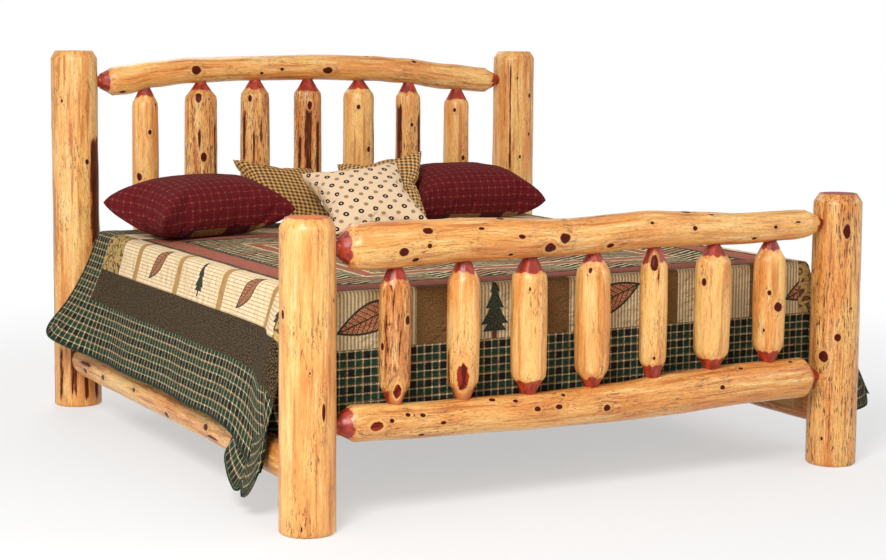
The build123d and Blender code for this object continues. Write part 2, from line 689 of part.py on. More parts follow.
nodes["rail_hook_plates"] = Compound(hook_plates)
nodes["rail_receiver_plates"] = Compound(receivers)
nodes["rail_plate_screws"] = Compound(hook_screws)
nodes["cleat_screws"] = Compound(cleat_screws)
nodes["slat_screws"] = Compound(slat_screws)
nodes["leg_screws"] = Compound(leg_screws)
nodes["leg_glides"] = Compound([glide(y) for y in leg_ys])
nodes["mattress"] = mattress()
nodes["quilt"] = quilt()
throw = pillow(THROW_SIDE, THROW_SIDE, THROW_PLUMP)
check = pillow(CHECK_SIDE, CHECK_SIDE, CHECK_PLUMP)
sham = pillow(SHAM_WIDTH, SHAM_HEIGHT, SHAM_PLUMP)
pillow_kinds = {
    "pillow_dotted": throw,
    "pillow_check_left": check,
    "pillow_check_right": check,
    "pillow_sham_left": sham,
    "pillow_sham_right": sham,
}
for name, flat in pillow_kinds.items():
    nodes[name] = place_pillow(flat, PILLOW_PLACES[name])

os.makedirs("parts", exist_ok=True)
for name, solid in nodes.items():
    export_step(solid, f"parts/{name}.step")
print(len(nodes), "nodes written")
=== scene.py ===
# %% [markdown]
# # A rustic log bed, dressed
#
# The bed's construction comes in ready made, as a fixed frame of solids: logs, deck, hooks,
# mattress, quilt and pillows, each at its real size. This lesson gives it its looks. The logs
# are modelled again with knots and lumps, the pillows are blown up by a cloth simulation, the
# quilt is draped over the mattress, and every surface gets a finish made of nodes.

# %% Load the frame
import math
import random

import bmesh
import bpy
from mathutils import Matrix, Vector, noise


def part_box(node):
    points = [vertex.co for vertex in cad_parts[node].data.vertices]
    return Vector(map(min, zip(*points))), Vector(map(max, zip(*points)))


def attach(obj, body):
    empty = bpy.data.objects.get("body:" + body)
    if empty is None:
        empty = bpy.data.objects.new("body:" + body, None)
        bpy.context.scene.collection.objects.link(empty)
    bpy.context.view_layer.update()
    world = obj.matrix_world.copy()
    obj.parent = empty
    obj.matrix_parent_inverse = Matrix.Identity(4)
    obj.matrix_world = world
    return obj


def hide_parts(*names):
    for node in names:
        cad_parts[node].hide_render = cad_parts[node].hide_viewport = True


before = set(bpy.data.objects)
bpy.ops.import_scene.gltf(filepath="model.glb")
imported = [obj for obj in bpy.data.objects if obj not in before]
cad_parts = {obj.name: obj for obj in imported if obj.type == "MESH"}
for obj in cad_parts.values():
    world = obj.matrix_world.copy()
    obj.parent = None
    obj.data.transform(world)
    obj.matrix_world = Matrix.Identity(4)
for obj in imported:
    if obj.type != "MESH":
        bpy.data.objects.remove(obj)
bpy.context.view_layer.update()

# %% [markdown]
# ## Camera
#
# A catalogue picture of a bed is taken from the foot, to one side, a little above the
# mattress. A long lens keeps the posts upright. The small downward shift of the lens puts the
# bed in the upper part of the picture without tilting the camera, so the posts stay parallel.

# %% Camera
CAMERA_PLACE = (-3.328, -6.118, 1.504)
CAMERA_YAW = 28.93          # degrees from +Y towards +X
CAMERA_PITCH = 6.22         # degrees down
CAMERA_ROLL = 0.46
LENS = 76.0
SHIFT_Y = -0.0508

lens = bpy.data.cameras.new("camera")
lens.lens = LENS
lens.sensor_width = 36.0
lens.shift_y = SHIFT_Y
camera = bpy.data.objects.new("camera", lens)
bpy.context.scene.collection.objects.link(camera)
turns = (
    Matrix.Rotation(math.radians(-CAMERA_YAW), 4, "Z")
    @ Matrix.Rotation(math.radians(90 - CAMERA_PITCH), 4, "X")
    @ Matrix.Rotation(math.radians(CAMERA_ROLL), 4, "Z")
)
camera.matrix_world = Matrix.Translation(CAMERA_PLACE) @ turns
bpy.context.scene.camera = camera
bpy.context.scene.view_settings.view_transform = "Standard"
print("camera at", CAMERA_PLACE)

# %% [markdown]
# ## Finishes
#
# Every material here is a Principled shader fed by a few texture nodes. Writing the same
# node calls over and over hides what a finish is made of, so a small class gives them short
# names. Colours are written as they look on a screen, from 0 to 255, and turned into the
# linear values that the shader works with.

# %% Helpers for finishes
def colour(red, green, blue):
    """A screen colour as the shader's linear red, green, blue and alpha."""
    parts = [channel / 255 for channel in (red, green, blue)]
    return tuple(p / 12.92 if p <= 0.04045 else ((p + 0.055) / 1.055) ** 2.4 for p in parts) + (1.0,)


class Finish:
    """A material, and short names for the nodes that it is made of."""

    def __init__(self, name, roughness, **sockets):
        self.material = bpy.data.materials.new(name)
        self.material.use_nodes = True
        self.tree = self.material.node_tree
        self.shader = self.tree.nodes["Principled BSDF"]
        self.shader.inputs["Roughness"].default_value = roughness
        for socket, value in sockets.items():
            self.shader.inputs[socket.replace("_", " ")].default_value = value

    def add(self, kind, inputs, **settings):
        node = self.tree.nodes.new("ShaderNode" + kind)
        for setting, value in settings.items():
            setattr(node, setting, value)
        for socket, value in inputs.items():
            self.feed(node.inputs[socket], value)
        return node

    def feed(self, socket, value):
        if isinstance(value, bpy.types.NodeSocket):
            self.tree.links.new(value, socket)
        else:
            socket.default_value = value

    def math(self, operation, a, b=0.0):
        return self.add("Math", {0: a, 1: b}, operation=operation).outputs[0]

    def times(self, a, b):
        return self.math("MULTIPLY", a, b)

    def plus(self, a, b):
        return self.math("ADD", a, b)

    def minus(self, a, b):
        return self.math("SUBTRACT", a, b)

    def mix(self, share, a, b):
        return self.add("Mix", {0: share, 6: a, 7: b}, data_type="RGBA").outputs[2]

    def over(self, base, tint, mask, share=1.0):
        """The base with a tint laid over it where the mask is 1."""
        return self.mix(self.times(mask, share), base, tint)

    def noise(self, vector, scale, detail=2.0, roughness=0.5):
        sockets = {"Vector": vector, "Scale": scale, "Detail": detail, "Roughness": roughness}
        return self.add("TexNoise", sockets).outputs["Fac"]

    def stretch(self, vector, scale):
        return self.add("Mapping", {"Vector": vector, "Scale": scale}).outputs[0]

    def attribute(self, name, output="Vector"):
        return self.add("Attribute", {}, attribute_name=name).outputs[output]

    def place(self):
        return self.add("TexCoord", {}).outputs["Object"]

    def split(self, vector):
        return self.add("SeparateXYZ", {0: vector}).outputs

    def step(self, value, low, high):
        """0 below low, 1 above high, and a smooth ramp between them."""
        sockets = {"Value": value, "From Min": low, "From Max": high}
        return self.add("MapRange", sockets, interpolation_type="SMOOTHSTEP").outputs[0]

    def within(self, value, low, high, edge):
        """1 between low and high, 0 outside."""
        return self.times(self.step(value, low - edge, low + edge),
                          self.step(value, high + edge, high - edge))

    def stripes(self, value, pitch, width):
        """1 on lines of this width, once every pitch."""
        phase = self.math("PINGPONG", value, pitch / 2)
        return self.step(phase, width / 2 + pitch * 0.03, width / 2 - pitch * 0.03)

    def paint(self, value, socket="Base Color"):
        self.feed(self.shader.inputs[socket], value)

    def bump(self, height, strength, distance):
        before = self.shader.inputs["Normal"]
        sockets = {"Height": height, "Strength": strength, "Distance": distance}
        if before.is_linked:
            sockets["Normal"] = before.links[0].from_socket
        self.tree.links.new(self.add("Bump", sockets).outputs[0], before)


# %% [markdown]
# ## Peeled log
#
# A peeled cedar log is honey coloured on the outside, where the sapwood is, and brick red
# inside, where the heartwood is. Wherever a log is cut down to its core, as on the pencilled
# ends, the red shows, with a ragged border. So the finish needs to know how deep each point
# lies in its log. The mesh carries that as an attribute, "grain": the point's place in a log
# that stands upright on its own axis. Its length across gives the depth, and noise stretched
# along it gives the streaks. A second attribute, "knot", holds the way from the nearest knot
# in knot radii, so that the knots stay sharp on a coarse mesh. The others are plain amounts:
# how deep the red lies, how dark the log is, how flecked, how much bark is left, whether the
# nearest knot is the flat scar of a branch, and whether the point is on a sawn end.

# %% The log finish
def peeled_log_finish():
    wood = Finish("peeled_log", 0.4, Coat_Weight=0.15, Coat_Roughness=0.3)
    grain = wood.attribute("grain")
    knot = wood.attribute("knot")
    tone = wood.attribute("tone", "Fac")
    fleck = wood.attribute("fleck", "Fac")
    bark = wood.attribute("bark", "Fac")
    heart = wood.attribute("heart", "Fac")
    scar = wood.attribute("scar", "Fac")
    across = wood.split(grain)
    depth = wood.math("SQRT",
                      wood.plus(wood.times(across[0], across[0]), wood.times(across[1], across[1])))
    broad = wood.noise(wood.stretch(grain, (12.0, 12.0, 2.6)), 1.0, 3.0)
    streak = wood.noise(wood.stretch(grain, (60.0, 60.0, 3.4)), 1.0, 5.0, 0.62)
    fine = wood.noise(wood.stretch(grain, (420.0, 420.0, 11.0)), 1.0, 3.0, 0.6)
    torn = wood.noise(wood.stretch(grain, (150.0, 150.0, 34.0)), 1.0, 4.0, 0.65)
    patch = wood.noise(wood.stretch(grain, (13.0, 13.0, 4.5)), 1.0, 2.0)

    knotted = wood.noise(wood.stretch(grain, (64.0, 64.0, 46.0)), 1.0, 2.0)
    away = wood.add("VectorMath", {0: knot}, operation="LENGTH").outputs["Value"]
    away = wood.plus(away, wood.times(wood.minus(knotted, 0.5), 0.75))
    near = wood.step(away, 4.6, 1.6)

    # sapwood: pale and honey patches, then streaks, then the thin lines of the year rings
    honey = wood.mix(wood.step(broad, 0.34, 0.66), colour(253, 199, 116), colour(234, 154, 74))
    # tone darkens a log. On the side rails and the headboard posts its amount is painted light and shade. On
    # the other logs it is the log's own colour.
    honey = wood.over(honey, colour(200, 116, 46), tone, 0.6)
    rough_share = wood.plus(0.40, wood.times(fleck, 0.50))
    honey = wood.over(honey, colour(254, 220, 150), wood.step(streak, 0.47, 0.35), 0.75)
    honey = wood.over(honey, colour(186, 98, 34), wood.step(streak, 0.53, 0.65), rough_share)
    waves = wood.plus(streak, wood.times(broad, 0.6))
    contour = wood.math("FRACT", wood.times(waves, 15.0))
    year = wood.times(wood.step(contour, 0.58, 0.95), wood.step(contour, 1.0, 0.97))
    honey = wood.over(honey, colour(150, 74, 26), year, wood.times(rough_share, 0.75))
    honey = wood.over(honey, colour(138, 72, 28), wood.step(fine, 0.53, 0.74), rough_share)

    # torn grain where the peeler lifted it, short dark flecks, and the odd long crack
    wrinkled = wood.times(wood.step(torn, 0.55, 0.64),
                          wood.math("MAXIMUM", wood.step(patch, 0.48, 0.62), near))
    honey = wood.over(honey, colour(126, 62, 24), wrinkled, 0.72)
    folds = wood.noise(wood.stretch(grain, (95.0, 95.0, 12.0)), 1.0, 3.0)
    folds = wood.times(wood.step(wood.math("ABSOLUTE", wood.minus(folds, 0.5)), 0.020, 0.006),
                       wood.math("MAXIMUM", near, wood.times(wood.step(patch, 0.55, 0.62), 0.7)))
    honey = wood.over(honey, colour(96, 44, 20), folds, 0.78)
    dash = wood.noise(wood.stretch(grain, (200.0, 200.0, 30.0)), 1.0, 2.0)
    limit = wood.minus(0.80, wood.times(wood.times(fleck, fleck), 0.215))
    dashes = wood.step(wood.minus(dash, limit), 0.0, 0.03)
    often = wood.plus(patch, wood.times(fleck, 0.09))
    dashes = wood.times(dashes, wood.step(often, 0.44, 0.56))
    honey = wood.over(honey, colour(84, 40, 20), dashes, 0.9)
    split = wood.noise(wood.stretch(grain, (46.0, 46.0, 0.9)), 1.0, 1.0)
    crack = wood.step(wood.math("ABSOLUTE", wood.minus(split, 0.5)), 0.006, 0.002)
    crack = wood.times(crack, wood.step(broad, 0.56, 0.62))
    honey = wood.over(honey, colour(92, 46, 22), crack, 0.75)

    rough_edge = wood.noise(wood.stretch(grain, (90.0, 90.0, 9.0)), 1.0, 4.0, 0.65)
    barky = wood.plus(bark, wood.times(wood.minus(rough_edge, 0.5), 1.5))
    stain = wood.step(barky, 0.22, 0.55)
    honey = wood.over(honey, colour(176, 92, 44), stain, wood.times(bark, 1.6))
    barky = wood.step(barky, 0.50, 0.60)
    bark_tone = wood.mix(wood.step(fine, 0.35, 0.65), colour(44, 20, 12), colour(118, 58, 28))
    honey = wood.mix(barky, honey, bark_tone)

    # heartwood shows where the log is cut down to it
    ragged = wood.noise(wood.stretch(grain, (32.0, 32.0, 7.0)), 1.0, 2.0)
    ragged = wood.times(wood.minus(ragged, 0.5), 0.016)
    inside = wood.minus(wood.plus(heart, ragged), depth)
    red = wood.mix(wood.step(streak, 0.35, 0.65), colour(190, 62, 32), colour(126, 30, 18))
    red = wood.over(red, colour(78, 18, 14), wood.step(fine, 0.48, 0.75), 0.5)
    year_ring = wood.math("FRACT", wood.times(depth, 260.0))
    core_wood = wood.mix(year_ring, colour(226, 136, 76), colour(200, 104, 56))
    on_end = wood.attribute("end", "Fac")
    red = wood.mix(on_end, red, core_wood)
    border = wood.within(inside, -0.0022, 0.0, 0.0008)
    honey = wood.over(honey, colour(206, 118, 62), border, 0.4)
    body = wood.mix(wood.step(inside, -0.0006, 0.0008), honey, red)

    # knots: a lighter swirl, a dark rim, and a red core with rings of its own
    swirl = wood.math("FRACT", wood.times(away, 2.6))
    halo = wood.step(away, 2.3, 1.2)
    body = wood.over(body, colour(238, 178, 98), halo, 0.5)
    swirled = wood.times(halo, wood.step(swirl, 0.6, 0.95))
    body = wood.over(body, colour(164, 88, 38), swirled, 0.5)
    ring = wood.within(away, 0.86, 1.16, 0.10)
    body = wood.mix(wood.step(away, 1.04, 0.94), body, colour(120, 38, 20))
    rim = wood.mix(scar, colour(40, 14, 8), colour(240, 176, 100))
    body = wood.over(body, rim, ring, 0.92)
    rings = wood.step(wood.math("SINE", wood.times(away, 24.0)), -0.2, 0.9)
    core = wood.mix(rings, colour(52, 12, 8), colour(120, 34, 18))
    scar_red = wood.mix(wood.step(streak, 0.40, 0.60), colour(150, 52, 34), colour(84, 22, 18))
    core = wood.mix(scar, core, scar_red)
    body = wood.mix(wood.step(away, 0.88, 0.78), body, core)
    pith = wood.step(away, 0.30, 0.12)
    body = wood.over(body, colour(44, 16, 18), pith, wood.minus(0.8, wood.times(scar, 0.8)))
    wood.paint(body)

    in_knot = wood.step(away, 1.1, 0.95)
    dull = wood.math("MAXIMUM", on_end, wood.math("MAXIMUM", in_knot, barky))
    wood.paint(wood.minus(0.15, wood.times(dull, 0.15)), "Coat Weight")
    wood.paint(wood.minus(0.5, wood.times(dull, 0.42)), "Specular IOR Level")
    rough = wood.plus(0.34, wood.times(streak, 0.16))
    rough = wood.plus(rough, wood.times(on_end, 0.3))
    wood.paint(wood.minus(rough, wood.times(in_knot, 0.10)), "Roughness")
    wood.bump(fine, 0.35, 0.0012)
    wood.bump(streak, 0.5, 0.003)
    wood.bump(wood.math("MAXIMUM", wrinkled, folds), -0.45, 0.002)
    wood.bump(wood.step(away, 0.85, 1.15), 0.55, 0.002)
    wood.bump(barky, 0.5, 0.002)
    return wood.material


peeled_log = peeled_log_finish()
print("finish:", peeled_log.name)

# %% [markdown]
# ## A log as a mesh
#
# A log could be a cylinder with a bump map, but its outline would then stay ruler straight.
# Here it is grown the way a potter pulls a tube: one circle, extruded ring by ring along the
# log's axis, with the rings close together where the shape changes. Each vertex then moves out
# to the log's own radius there, with low lumps, a swelling round every knot and flat facets
# from the drawknife on the pencilled ends. A log is described by rows: where along its axis,
# how thick, and how far its middle rises or sinks.

# %% Shape of a log
SEAM_RADIUS = 0.030          # thinner than this a log is a turned tenon, with no lumps
RING_GAP = 0.010             # between rings along a log
SWELL = 0.0055               # how far a knot stands out
KNOT_SIZE = 0.84             # of the red part, against the swollen part in the tables
LUMPS = {"rail": 0.040, "post": 0.016, "spindle": 0.034}      # share of a log's own radius
POST_RADIUS = 0.08           # an upright log thicker than this is a post
SCAR_LENGTH = 0.024          # a knot longer than this is the scar of a branch, cut flat and red
BARK_KEPT = 0.78             # share of a bark strip that is left, where its row names none


def between(rows, along):
    """Radius and rise of a log at a place along it."""
    for here, after in zip(rows, rows[1:]):
        if along <= after[0]:
            share = (along - here[0]) / max(after[0] - here[0], 1e-9)
            share = min(max(share, 0.0), 1.0)
            if after[3]:
                share = share * share * (3 - 2 * share)
            return here[1] + share * (after[1] - here[1]), here[2] + share * (after[2] - here[2])
    return rows[-1][1], rows[-1][2]


def ring_places(rows):
    places = []
    for here, after in zip(rows, rows[1:]):
        count = max(1, round((after[0] - here[0]) / RING_GAP))
        places += [here[0] + i * (after[0] - here[0]) / count for i in range(count)]
    return places + [rows[-1][0]]


def pulled_tube(places, segments):
    """A closed tube of unit radius, with a ring at each place."""
    tube = bmesh.new()
    bmesh.ops.create_circle(tube, segments=segments, radius=1.0)
    bmesh.ops.translate(tube, verts=tube.verts[:], vec=(0, 0, places[0]))
    first = tube.edges[:]
    ring = first
    for before, place in zip(places, places[1:]):
        grown = bmesh.ops.extrude_edge_only(tube, edges=ring)["geom"]
        verts = [g for g in grown if isinstance(g, bmesh.types.BMVert)]
        ring = [g for g in grown
                if isinstance(g, bmesh.types.BMEdge) and all(v in set(verts) for v in g.verts)]
        bmesh.ops.translate(tube, verts=verts, vec=(0, 0, place - before))
    for loop in (first, ring):
        for shrink in (0.72, 0.5, 0.4):
            grown = bmesh.ops.extrude_edge_only(tube, edges=loop)["geom"]
            verts = [g for g in grown if isinstance(g, bmesh.types.BMVert)]
            inner = set(verts)
            loop = [g for g in grown
                    if isinstance(g, bmesh.types.BMEdge) and all(v in inner for v in g.verts)]
            bmesh.ops.scale(tube, verts=verts, vec=(shrink, shrink, 1.0))
        bmesh.ops.contextual_create(tube, geom=loop)
    return tube


# %% [markdown]
# Each vertex still remembers its angle and its place along the tube, because the tube has unit
# radius. That is all the shaping needs. The knots push the grain aside as a stone does with
# water, which the "grain" attribute takes up, so the streaks part round each knot.

# %% Knots and lumps
def nearest_knot(knots, along, angle, radius):
    """Way to the nearest knot in knot radii: across, along, the knot, and the way to the next one."""
    found = []
    for knot in knots:
        turn = (angle - knot[1] + math.pi) % (2 * math.pi) - math.pi
        across, up = turn * radius / knot[2], (along - knot[0]) / knot[3]
        found.append((math.hypot(across, up), across, up, knot))
    found.sort(key=lambda way: way[0])
    if not found:
        return 9.0, 9.0, None, 9.0
    after = found[1][0] if len(found) > 1 else 9.0
    return found[0][1], found[0][2], found[0][3], after


def lump(angle, along, seed):
    """Slow swellings and small dents of a grown log, about -1 to 1."""
    around = Vector((math.cos(angle), math.sin(angle), 0.0))
    slow = noise.noise(around * 0.9 + Vector((seed, 0, along * 4.5)))
    quick = noise.noise(around * 2.2 + Vector((0, seed, along * 13.0)))
    return slow + 0.45 * quick


def faceted(angle, seed, count=8):
    """Radius of a shape with flat, uneven sides, next to its round one."""
    angle += 0.22 * math.sin(2 * angle + seed) + seed
    part = 2 * math.pi / count
    turn = angle % part - part / 2
    return math.cos(part / 2) / math.cos(turn)


def strip_share(strips, along, angle):
    """How much bark is left here, from the strips (low, high, angle, width, share) in the list."""
    most = 0.0
    for low, high, middle, width, kept in strips:
        turn = abs((angle - middle + math.pi) % (2 * math.pi) - math.pi)
        side = 1 - turn / width
        end = min((along - low), (high - along)) / 0.06
        most = max(most, kept * min(1.0, max(0.0, min(side * 1.6, end, 1.0))))
    return most


# %% The log maker
AXES = {
    "upright": (Vector((0, -1, 0)), Vector((1, 0, 0)), Vector((0, 0, 1))),
    "across": (Vector((0, -1, 0)), Vector((0, 0, 1)), Vector((1, 0, 0))),
    "lengthwise": (Vector((-1, 0, 0)), Vector((0, 0, 1)), Vector((0, 1, 0))),
}


def finished(mesh_builder, name, material, body, nodes):
    """Puts a bmesh in the scene as a piece that stands for CAD nodes and rides on a body."""
    mesh = bpy.data.meshes.new(name)
    mesh_builder.to_mesh(mesh)
    mesh_builder.free()
    mesh.materials.append(material)
    mesh.shade_smooth()
    piece = bpy.data.objects.new(name, mesh)
    bpy.context.scene.collection.objects.link(piece)
    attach(piece, body)
    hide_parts(*nodes)
    return piece


def grow_log(node, rows, axis, start, seed, heart, knots=(), strips=(), tone=0.3, fleck=0.3,
             segments=52, flat=None, pale=1.0):
    """A log in place of a CAD node. Knots: along, degrees, half width, half length."""
    front, side, along_axis = AXES[axis]
    rise_axis = Vector((0, 0, 1)) if axis != "upright" else Vector((1, 0, 0))
    knots = [(k[0], math.radians(k[1]), KNOT_SIZE * k[2], KNOT_SIZE * k[3]) for k in knots]
    strips = [(s[0], s[1], math.radians(s[2]), math.radians(s[3]),
               s[4] if len(s) > 4 else BARK_KEPT) for s in strips]
    low, high = rows[0][0], rows[-1][0]
    thickest = max(row[1] for row in rows)
    kind = "rail" if axis != "upright" else "post" if thickest > POST_RADIUS else "spindle"
    lumpy = LUMPS[kind]
    tube = pulled_tube(ring_places(rows), segments)
    grain = tube.verts.layers.float_vector.new("grain")
    knot_way = tube.verts.layers.float_vector.new("knot")
    words = ("heart", "tone", "fleck", "bark", "end", "scar")
    values = {word: tube.verts.layers.float.new(word) for word in words}
    for v in tube.verts:
        along = v.co.z
        angle = math.atan2(v.co.y, v.co.x)
        share = math.hypot(v.co.x, v.co.y)
        radius, rise = between(rows, along)
        grown = min(1.0, max(0.0, (radius - SEAM_RADIUS) / (0.6 * thickest)))
        shaped = radius * (1 + lumpy * grown * lump(angle, along, seed))
        on_cone = min(1.0, max(0.0, (0.93 * thickest - radius) / (0.2 * thickest)))
        if radius > 0.024 and on_cone > 0:
            shaped *= 1 + on_cone * (faceted(angle, seed) - 1)
        way_across, way_along, knot, after = nearest_knot(knots, along, angle, radius)
        way = math.hypot(way_across, way_along)
        turned = angle
        tilted = 0.0
        if knot:
            size = min(1.0, knot[2] / 0.02)
            shaped += SWELL * size * grown * math.exp(-((way / 1.5) ** 2))
            shaped -= 0.6 * SWELL * size * grown * math.exp(-((way / 0.6) ** 2))
            if 1.0 < way < 5.0:
                push = way_across * knot[2] * min(1.0, 1.3 / way ** 2) * (1 - way / 5.0)
                turned = angle - push / max(radius, 0.02)
                tilted = 0.35 * way_along * knot[3] * min(1.0, 1.3 / way ** 2) * (1 - way / 5.0)
        if flat:
            turn = math.cos(angle - math.radians(flat[0]))
            if turn > 0.05:
                shaped = min(shaped, flat[1] / turn)
        shaped *= share
        sway = 0.35 * grown * SWELL * noise.noise(Vector((along * 3.0, seed, 4.0)))
        outward = front * math.cos(angle) + side * math.sin(angle)
        centre = Vector(start) + along_axis * along + rise_axis * (rise + sway)
        v.co = centre + outward * shaped
        v[grain] = Vector((shaped * math.cos(turned), shaped * math.sin(turned), along - tilted + seed * 7.3))
        between_knots = max(0.0, 1.3 - (after - way)) * 2.4
        v[knot_way] = Vector((way_across, way_along, max(0.0, way - 4.0) * 5.0 + between_knots))
        if way > 5:
            v[knot_way] = Vector((0.0, 0.0, 9.0))
        blend = (along - low) / (high - low)
        v[values["heart"]] = heart[0] + blend * (heart[1] - heart[0])
        v[values["tone"]] = tone
        v[values["scar"]] = 1.0 if knot and knot[3] > SCAR_LENGTH else 0.0
        v[values["fleck"]] = fleck
        v[values["bark"]] = strip_share(strips, along, angle)
        v[values["end"]] = pale if share < 0.99 else 0.0
    bmesh.ops.recalc_face_normals(tube, faces=tube.faces[:])
    piece = finished(tube, node + "_log", peeled_log, "bed_frame", [node])
    return piece


# %% [markdown]
# ## The two ends of the bed
#
# The headboard and the footboard are each two posts, two rails and seven spindles. Every rail
# ends in a long pencilled cone with a round tenon that goes into its post, and every spindle
# has the same at both ends. The rows below repeat the frame's own sizes in metres, so that the
# new logs lie where the solids do.

# %% Measures of the ends
POST_X = 1.015
FOOT_Y = -1.103
HEAD_Y = 1.097
HEAD_POST = (1.416, 0.093)          # height, radius
FOOT_POST = (0.954, 0.087)
POST_TAPER = 0.97
RAIL_SHOULDER = 0.063
RAIL_NECK = 0.012
RAIL_TENON = (0.023, 0.070)         # radius, length in the post
RAIL_WAIST = 0.030                  # radius of the cone's small end
SPINDLE_TENON = (0.021, 0.038)
SPINDLE_NECK = 0.004
SPINDLE_WAIST = 0.026               # radius of the cone's small end
SPINDLE_CONE = 0.050
SPINDLE_PITCH = 0.2405
ARCH_RISE = 0.0555

# share of the half length, rise, radius
HEAD_TOP = [
    (-1.0, 0.02, 0.0570), (-0.95, 0.12, 0.0595), (-0.79, 0.52, 0.0540), (-0.62, 0.77, 0.0525),
    (-0.32, 0.92, 0.0510), (0.0, 1.0, 0.0535), (0.36, 0.88, 0.0540), (0.5, 0.72, 0.0540),
    (0.79, 0.22, 0.0555), (1.0, -0.04, 0.0540),
]
HEAD_LOW = [
    (-1.0, 0.0, 0.056), (-0.5, 0.003, 0.060), (0.0, -0.002, 0.062), (0.5, 0.002, 0.059), (1.0, 0.0, 0.057),
]
FOOT_TOP = [
    (-1.0, 0.0, 0.0690), (-0.94, 0.0005, 0.0725), (-0.58, 0.004, 0.0680), (-0.12, -0.005, 0.0610),
    (0.23, 0.0055, 0.0625), (0.46, 0.0005, 0.0575), (0.69, -0.008, 0.0540), (0.95, -0.005, 0.0530),
    (1.0, -0.004, 0.0500),
]
FOOT_LOW = [
    (-1.0, 0.013, 0.0580), (-0.66, 0.0015, 0.0575), (-0.23, -0.0065, 0.0595), (0.12, -0.0065, 0.0635),
    (0.38, 0.0, 0.0700), (0.73, 0.0105, 0.0695), (1.0, 0.0125, 0.0690),
]


def rail_rows(log, post_radius, rise_unit=1.0):
    """Rows of a rail between two posts: tenon, neck, cone, body, and back again."""
    face = POST_X - post_radius
    body, neck, tip = face - RAIL_SHOULDER, face - RAIL_NECK, face + RAIL_TENON[1]
    first, last = log[0][1] * rise_unit, log[-1][1] * rise_unit
    rows = [(-tip, RAIL_TENON[0], first, False), (-neck - 0.002, RAIL_TENON[0], first, False)]
    rows += [(-neck, RAIL_WAIST, first, False)]
    rows += [(share * body, radius, rise * rise_unit, i > 0) for i, (share, rise, radius) in enumerate(log)]
    rows += [(neck, RAIL_WAIST, last, False)]
    return rows + [(neck + 0.002, RAIL_TENON[0], last, False), (tip, RAIL_TENON[0], last, False)]


# %% Rails of the ends
HEAD_TOP_ROWS = rail_rows(HEAD_TOP, HEAD_POST[1], ARCH_RISE)
HEAD_LOW_ROWS = rail_rows(HEAD_LOW, HEAD_POST[1])
FOOT_TOP_ROWS = rail_rows(FOOT_TOP, FOOT_POST[1])
FOOT_LOW_ROWS = rail_rows(FOOT_LOW, FOOT_POST[1])
HEAD_TOP_Z, HEAD_LOW_Z, FOOT_TOP_Z, FOOT_LOW_Z = 1.293, 0.500, 0.857, 0.305


def scattered_knots(seed, count, low, high, size=0.014, turns=(-180, 180)):
    """Knots where nobody counts them: round the back and on hidden logs."""
    draw = random.Random(seed)
    knots = []
    for i in range(count):
        along = low + (i + draw.uniform(0.2, 0.8)) * (high - low) / count
        width = size * draw.uniform(0.5, 1.3)
        knots.append((along, draw.uniform(*turns), width, width * draw.uniform(1.0, 1.6)))
    return knots


# along the rail, degrees up from the side that faces the foot, half width, half length
FOOT_TOP_KNOTS = [
    (-0.73, -12, 0.014, 0.017), (-0.64, 37, 0.012, 0.019), (-0.64, -2, 0.008, 0.009),
    (-0.68, -38, 0.009, 0.012), (-0.45, 36, 0.006, 0.012), (-0.36, 80, 0.009, 0.014),
    (-0.34, -44, 0.006, 0.010), (-0.31, 11, 0.007, 0.014), (-0.20, -25, 0.017, 0.021),
    (-0.15, 4, 0.017, 0.021), (0.03, -33, 0.009, 0.014), (0.19, 27, 0.006, 0.009),
    (0.36, 85, 0.012, 0.020), (0.36, 8, 0.008, 0.009), (0.45, 62, 0.006, 0.010),
    (0.62, -37, 0.006, 0.010), (0.70, 4, 0.006, 0.008), (0.80, 17, 0.004, 0.012),
]
FOOT_LOW_KNOTS = [
    (-0.81, -2, 0.020, 0.030), (-0.76, 12, 0.008, 0.010), (-0.70, 30, 0.007, 0.009),
    (-0.65, 26, 0.007, 0.010), (-0.58, -2, 0.006, 0.010), (-0.65, -43, 0.007, 0.012),
    (-0.39, 62, 0.008, 0.013), (-0.31, 50, 0.007, 0.010), (-0.24, 17, 0.009, 0.013),
    (-0.16, 17, 0.009, 0.013), (-0.13, 55, 0.007, 0.009), (0.02, -1, 0.011, 0.013),
    (0.48, 12, 0.008, 0.010), (0.58, 60, 0.007, 0.010), (0.80, 66, 0.006, 0.010),
]
HEAD_TOP_KNOTS = [
    (-0.52, 3, 0.017, 0.021), (-0.23, -22, 0.007, 0.009), (-0.14, -5, 0.007, 0.009),
    (0.07, -12, 0.015, 0.022), (0.27, 75, 0.006, 0.009), (0.49, 50, 0.008, 0.012),
    (-0.83, -51, 0.008, 0.014), (0.56, -80, 0.007, 0.012),
]
back = (100, 260)
grow_log("footboard_top_rail", FOOT_TOP_ROWS, "across", (0, FOOT_Y, FOOT_TOP_Z), 3.1, (0.051, 0.030),
         knots=FOOT_TOP_KNOTS + scattered_knots(5, 9, -0.8, 0.8, turns=back), tone=0.08, fleck=0.65)
grow_log("footboard_bottom_rail", FOOT_LOW_ROWS, "across", (0, FOOT_Y, FOOT_LOW_Z), 8.4, (0.046, 0.052),
         knots=FOOT_LOW_KNOTS + scattered_knots(6, 8, -0.8, 0.8, turns=back), tone=0.25, fleck=0.75)
grow_log("headboard_top_rail", HEAD_TOP_ROWS, "across", (0, HEAD_Y, HEAD_TOP_Z), 1.7, (0.043, 0.040),
         knots=HEAD_TOP_KNOTS + scattered_knots(7, 9, -0.8, 0.8, turns=back), tone=0.0, fleck=0.6)
grow_log("headboard_bottom_rail", HEAD_LOW_ROWS, "across", (0, HEAD_Y, HEAD_LOW_Z), 5.9, (0.042, 0.042),
         knots=scattered_knots(8, 14, -0.8, 0.8), tone=0.4, fleck=0.4)
print("rails: 4")


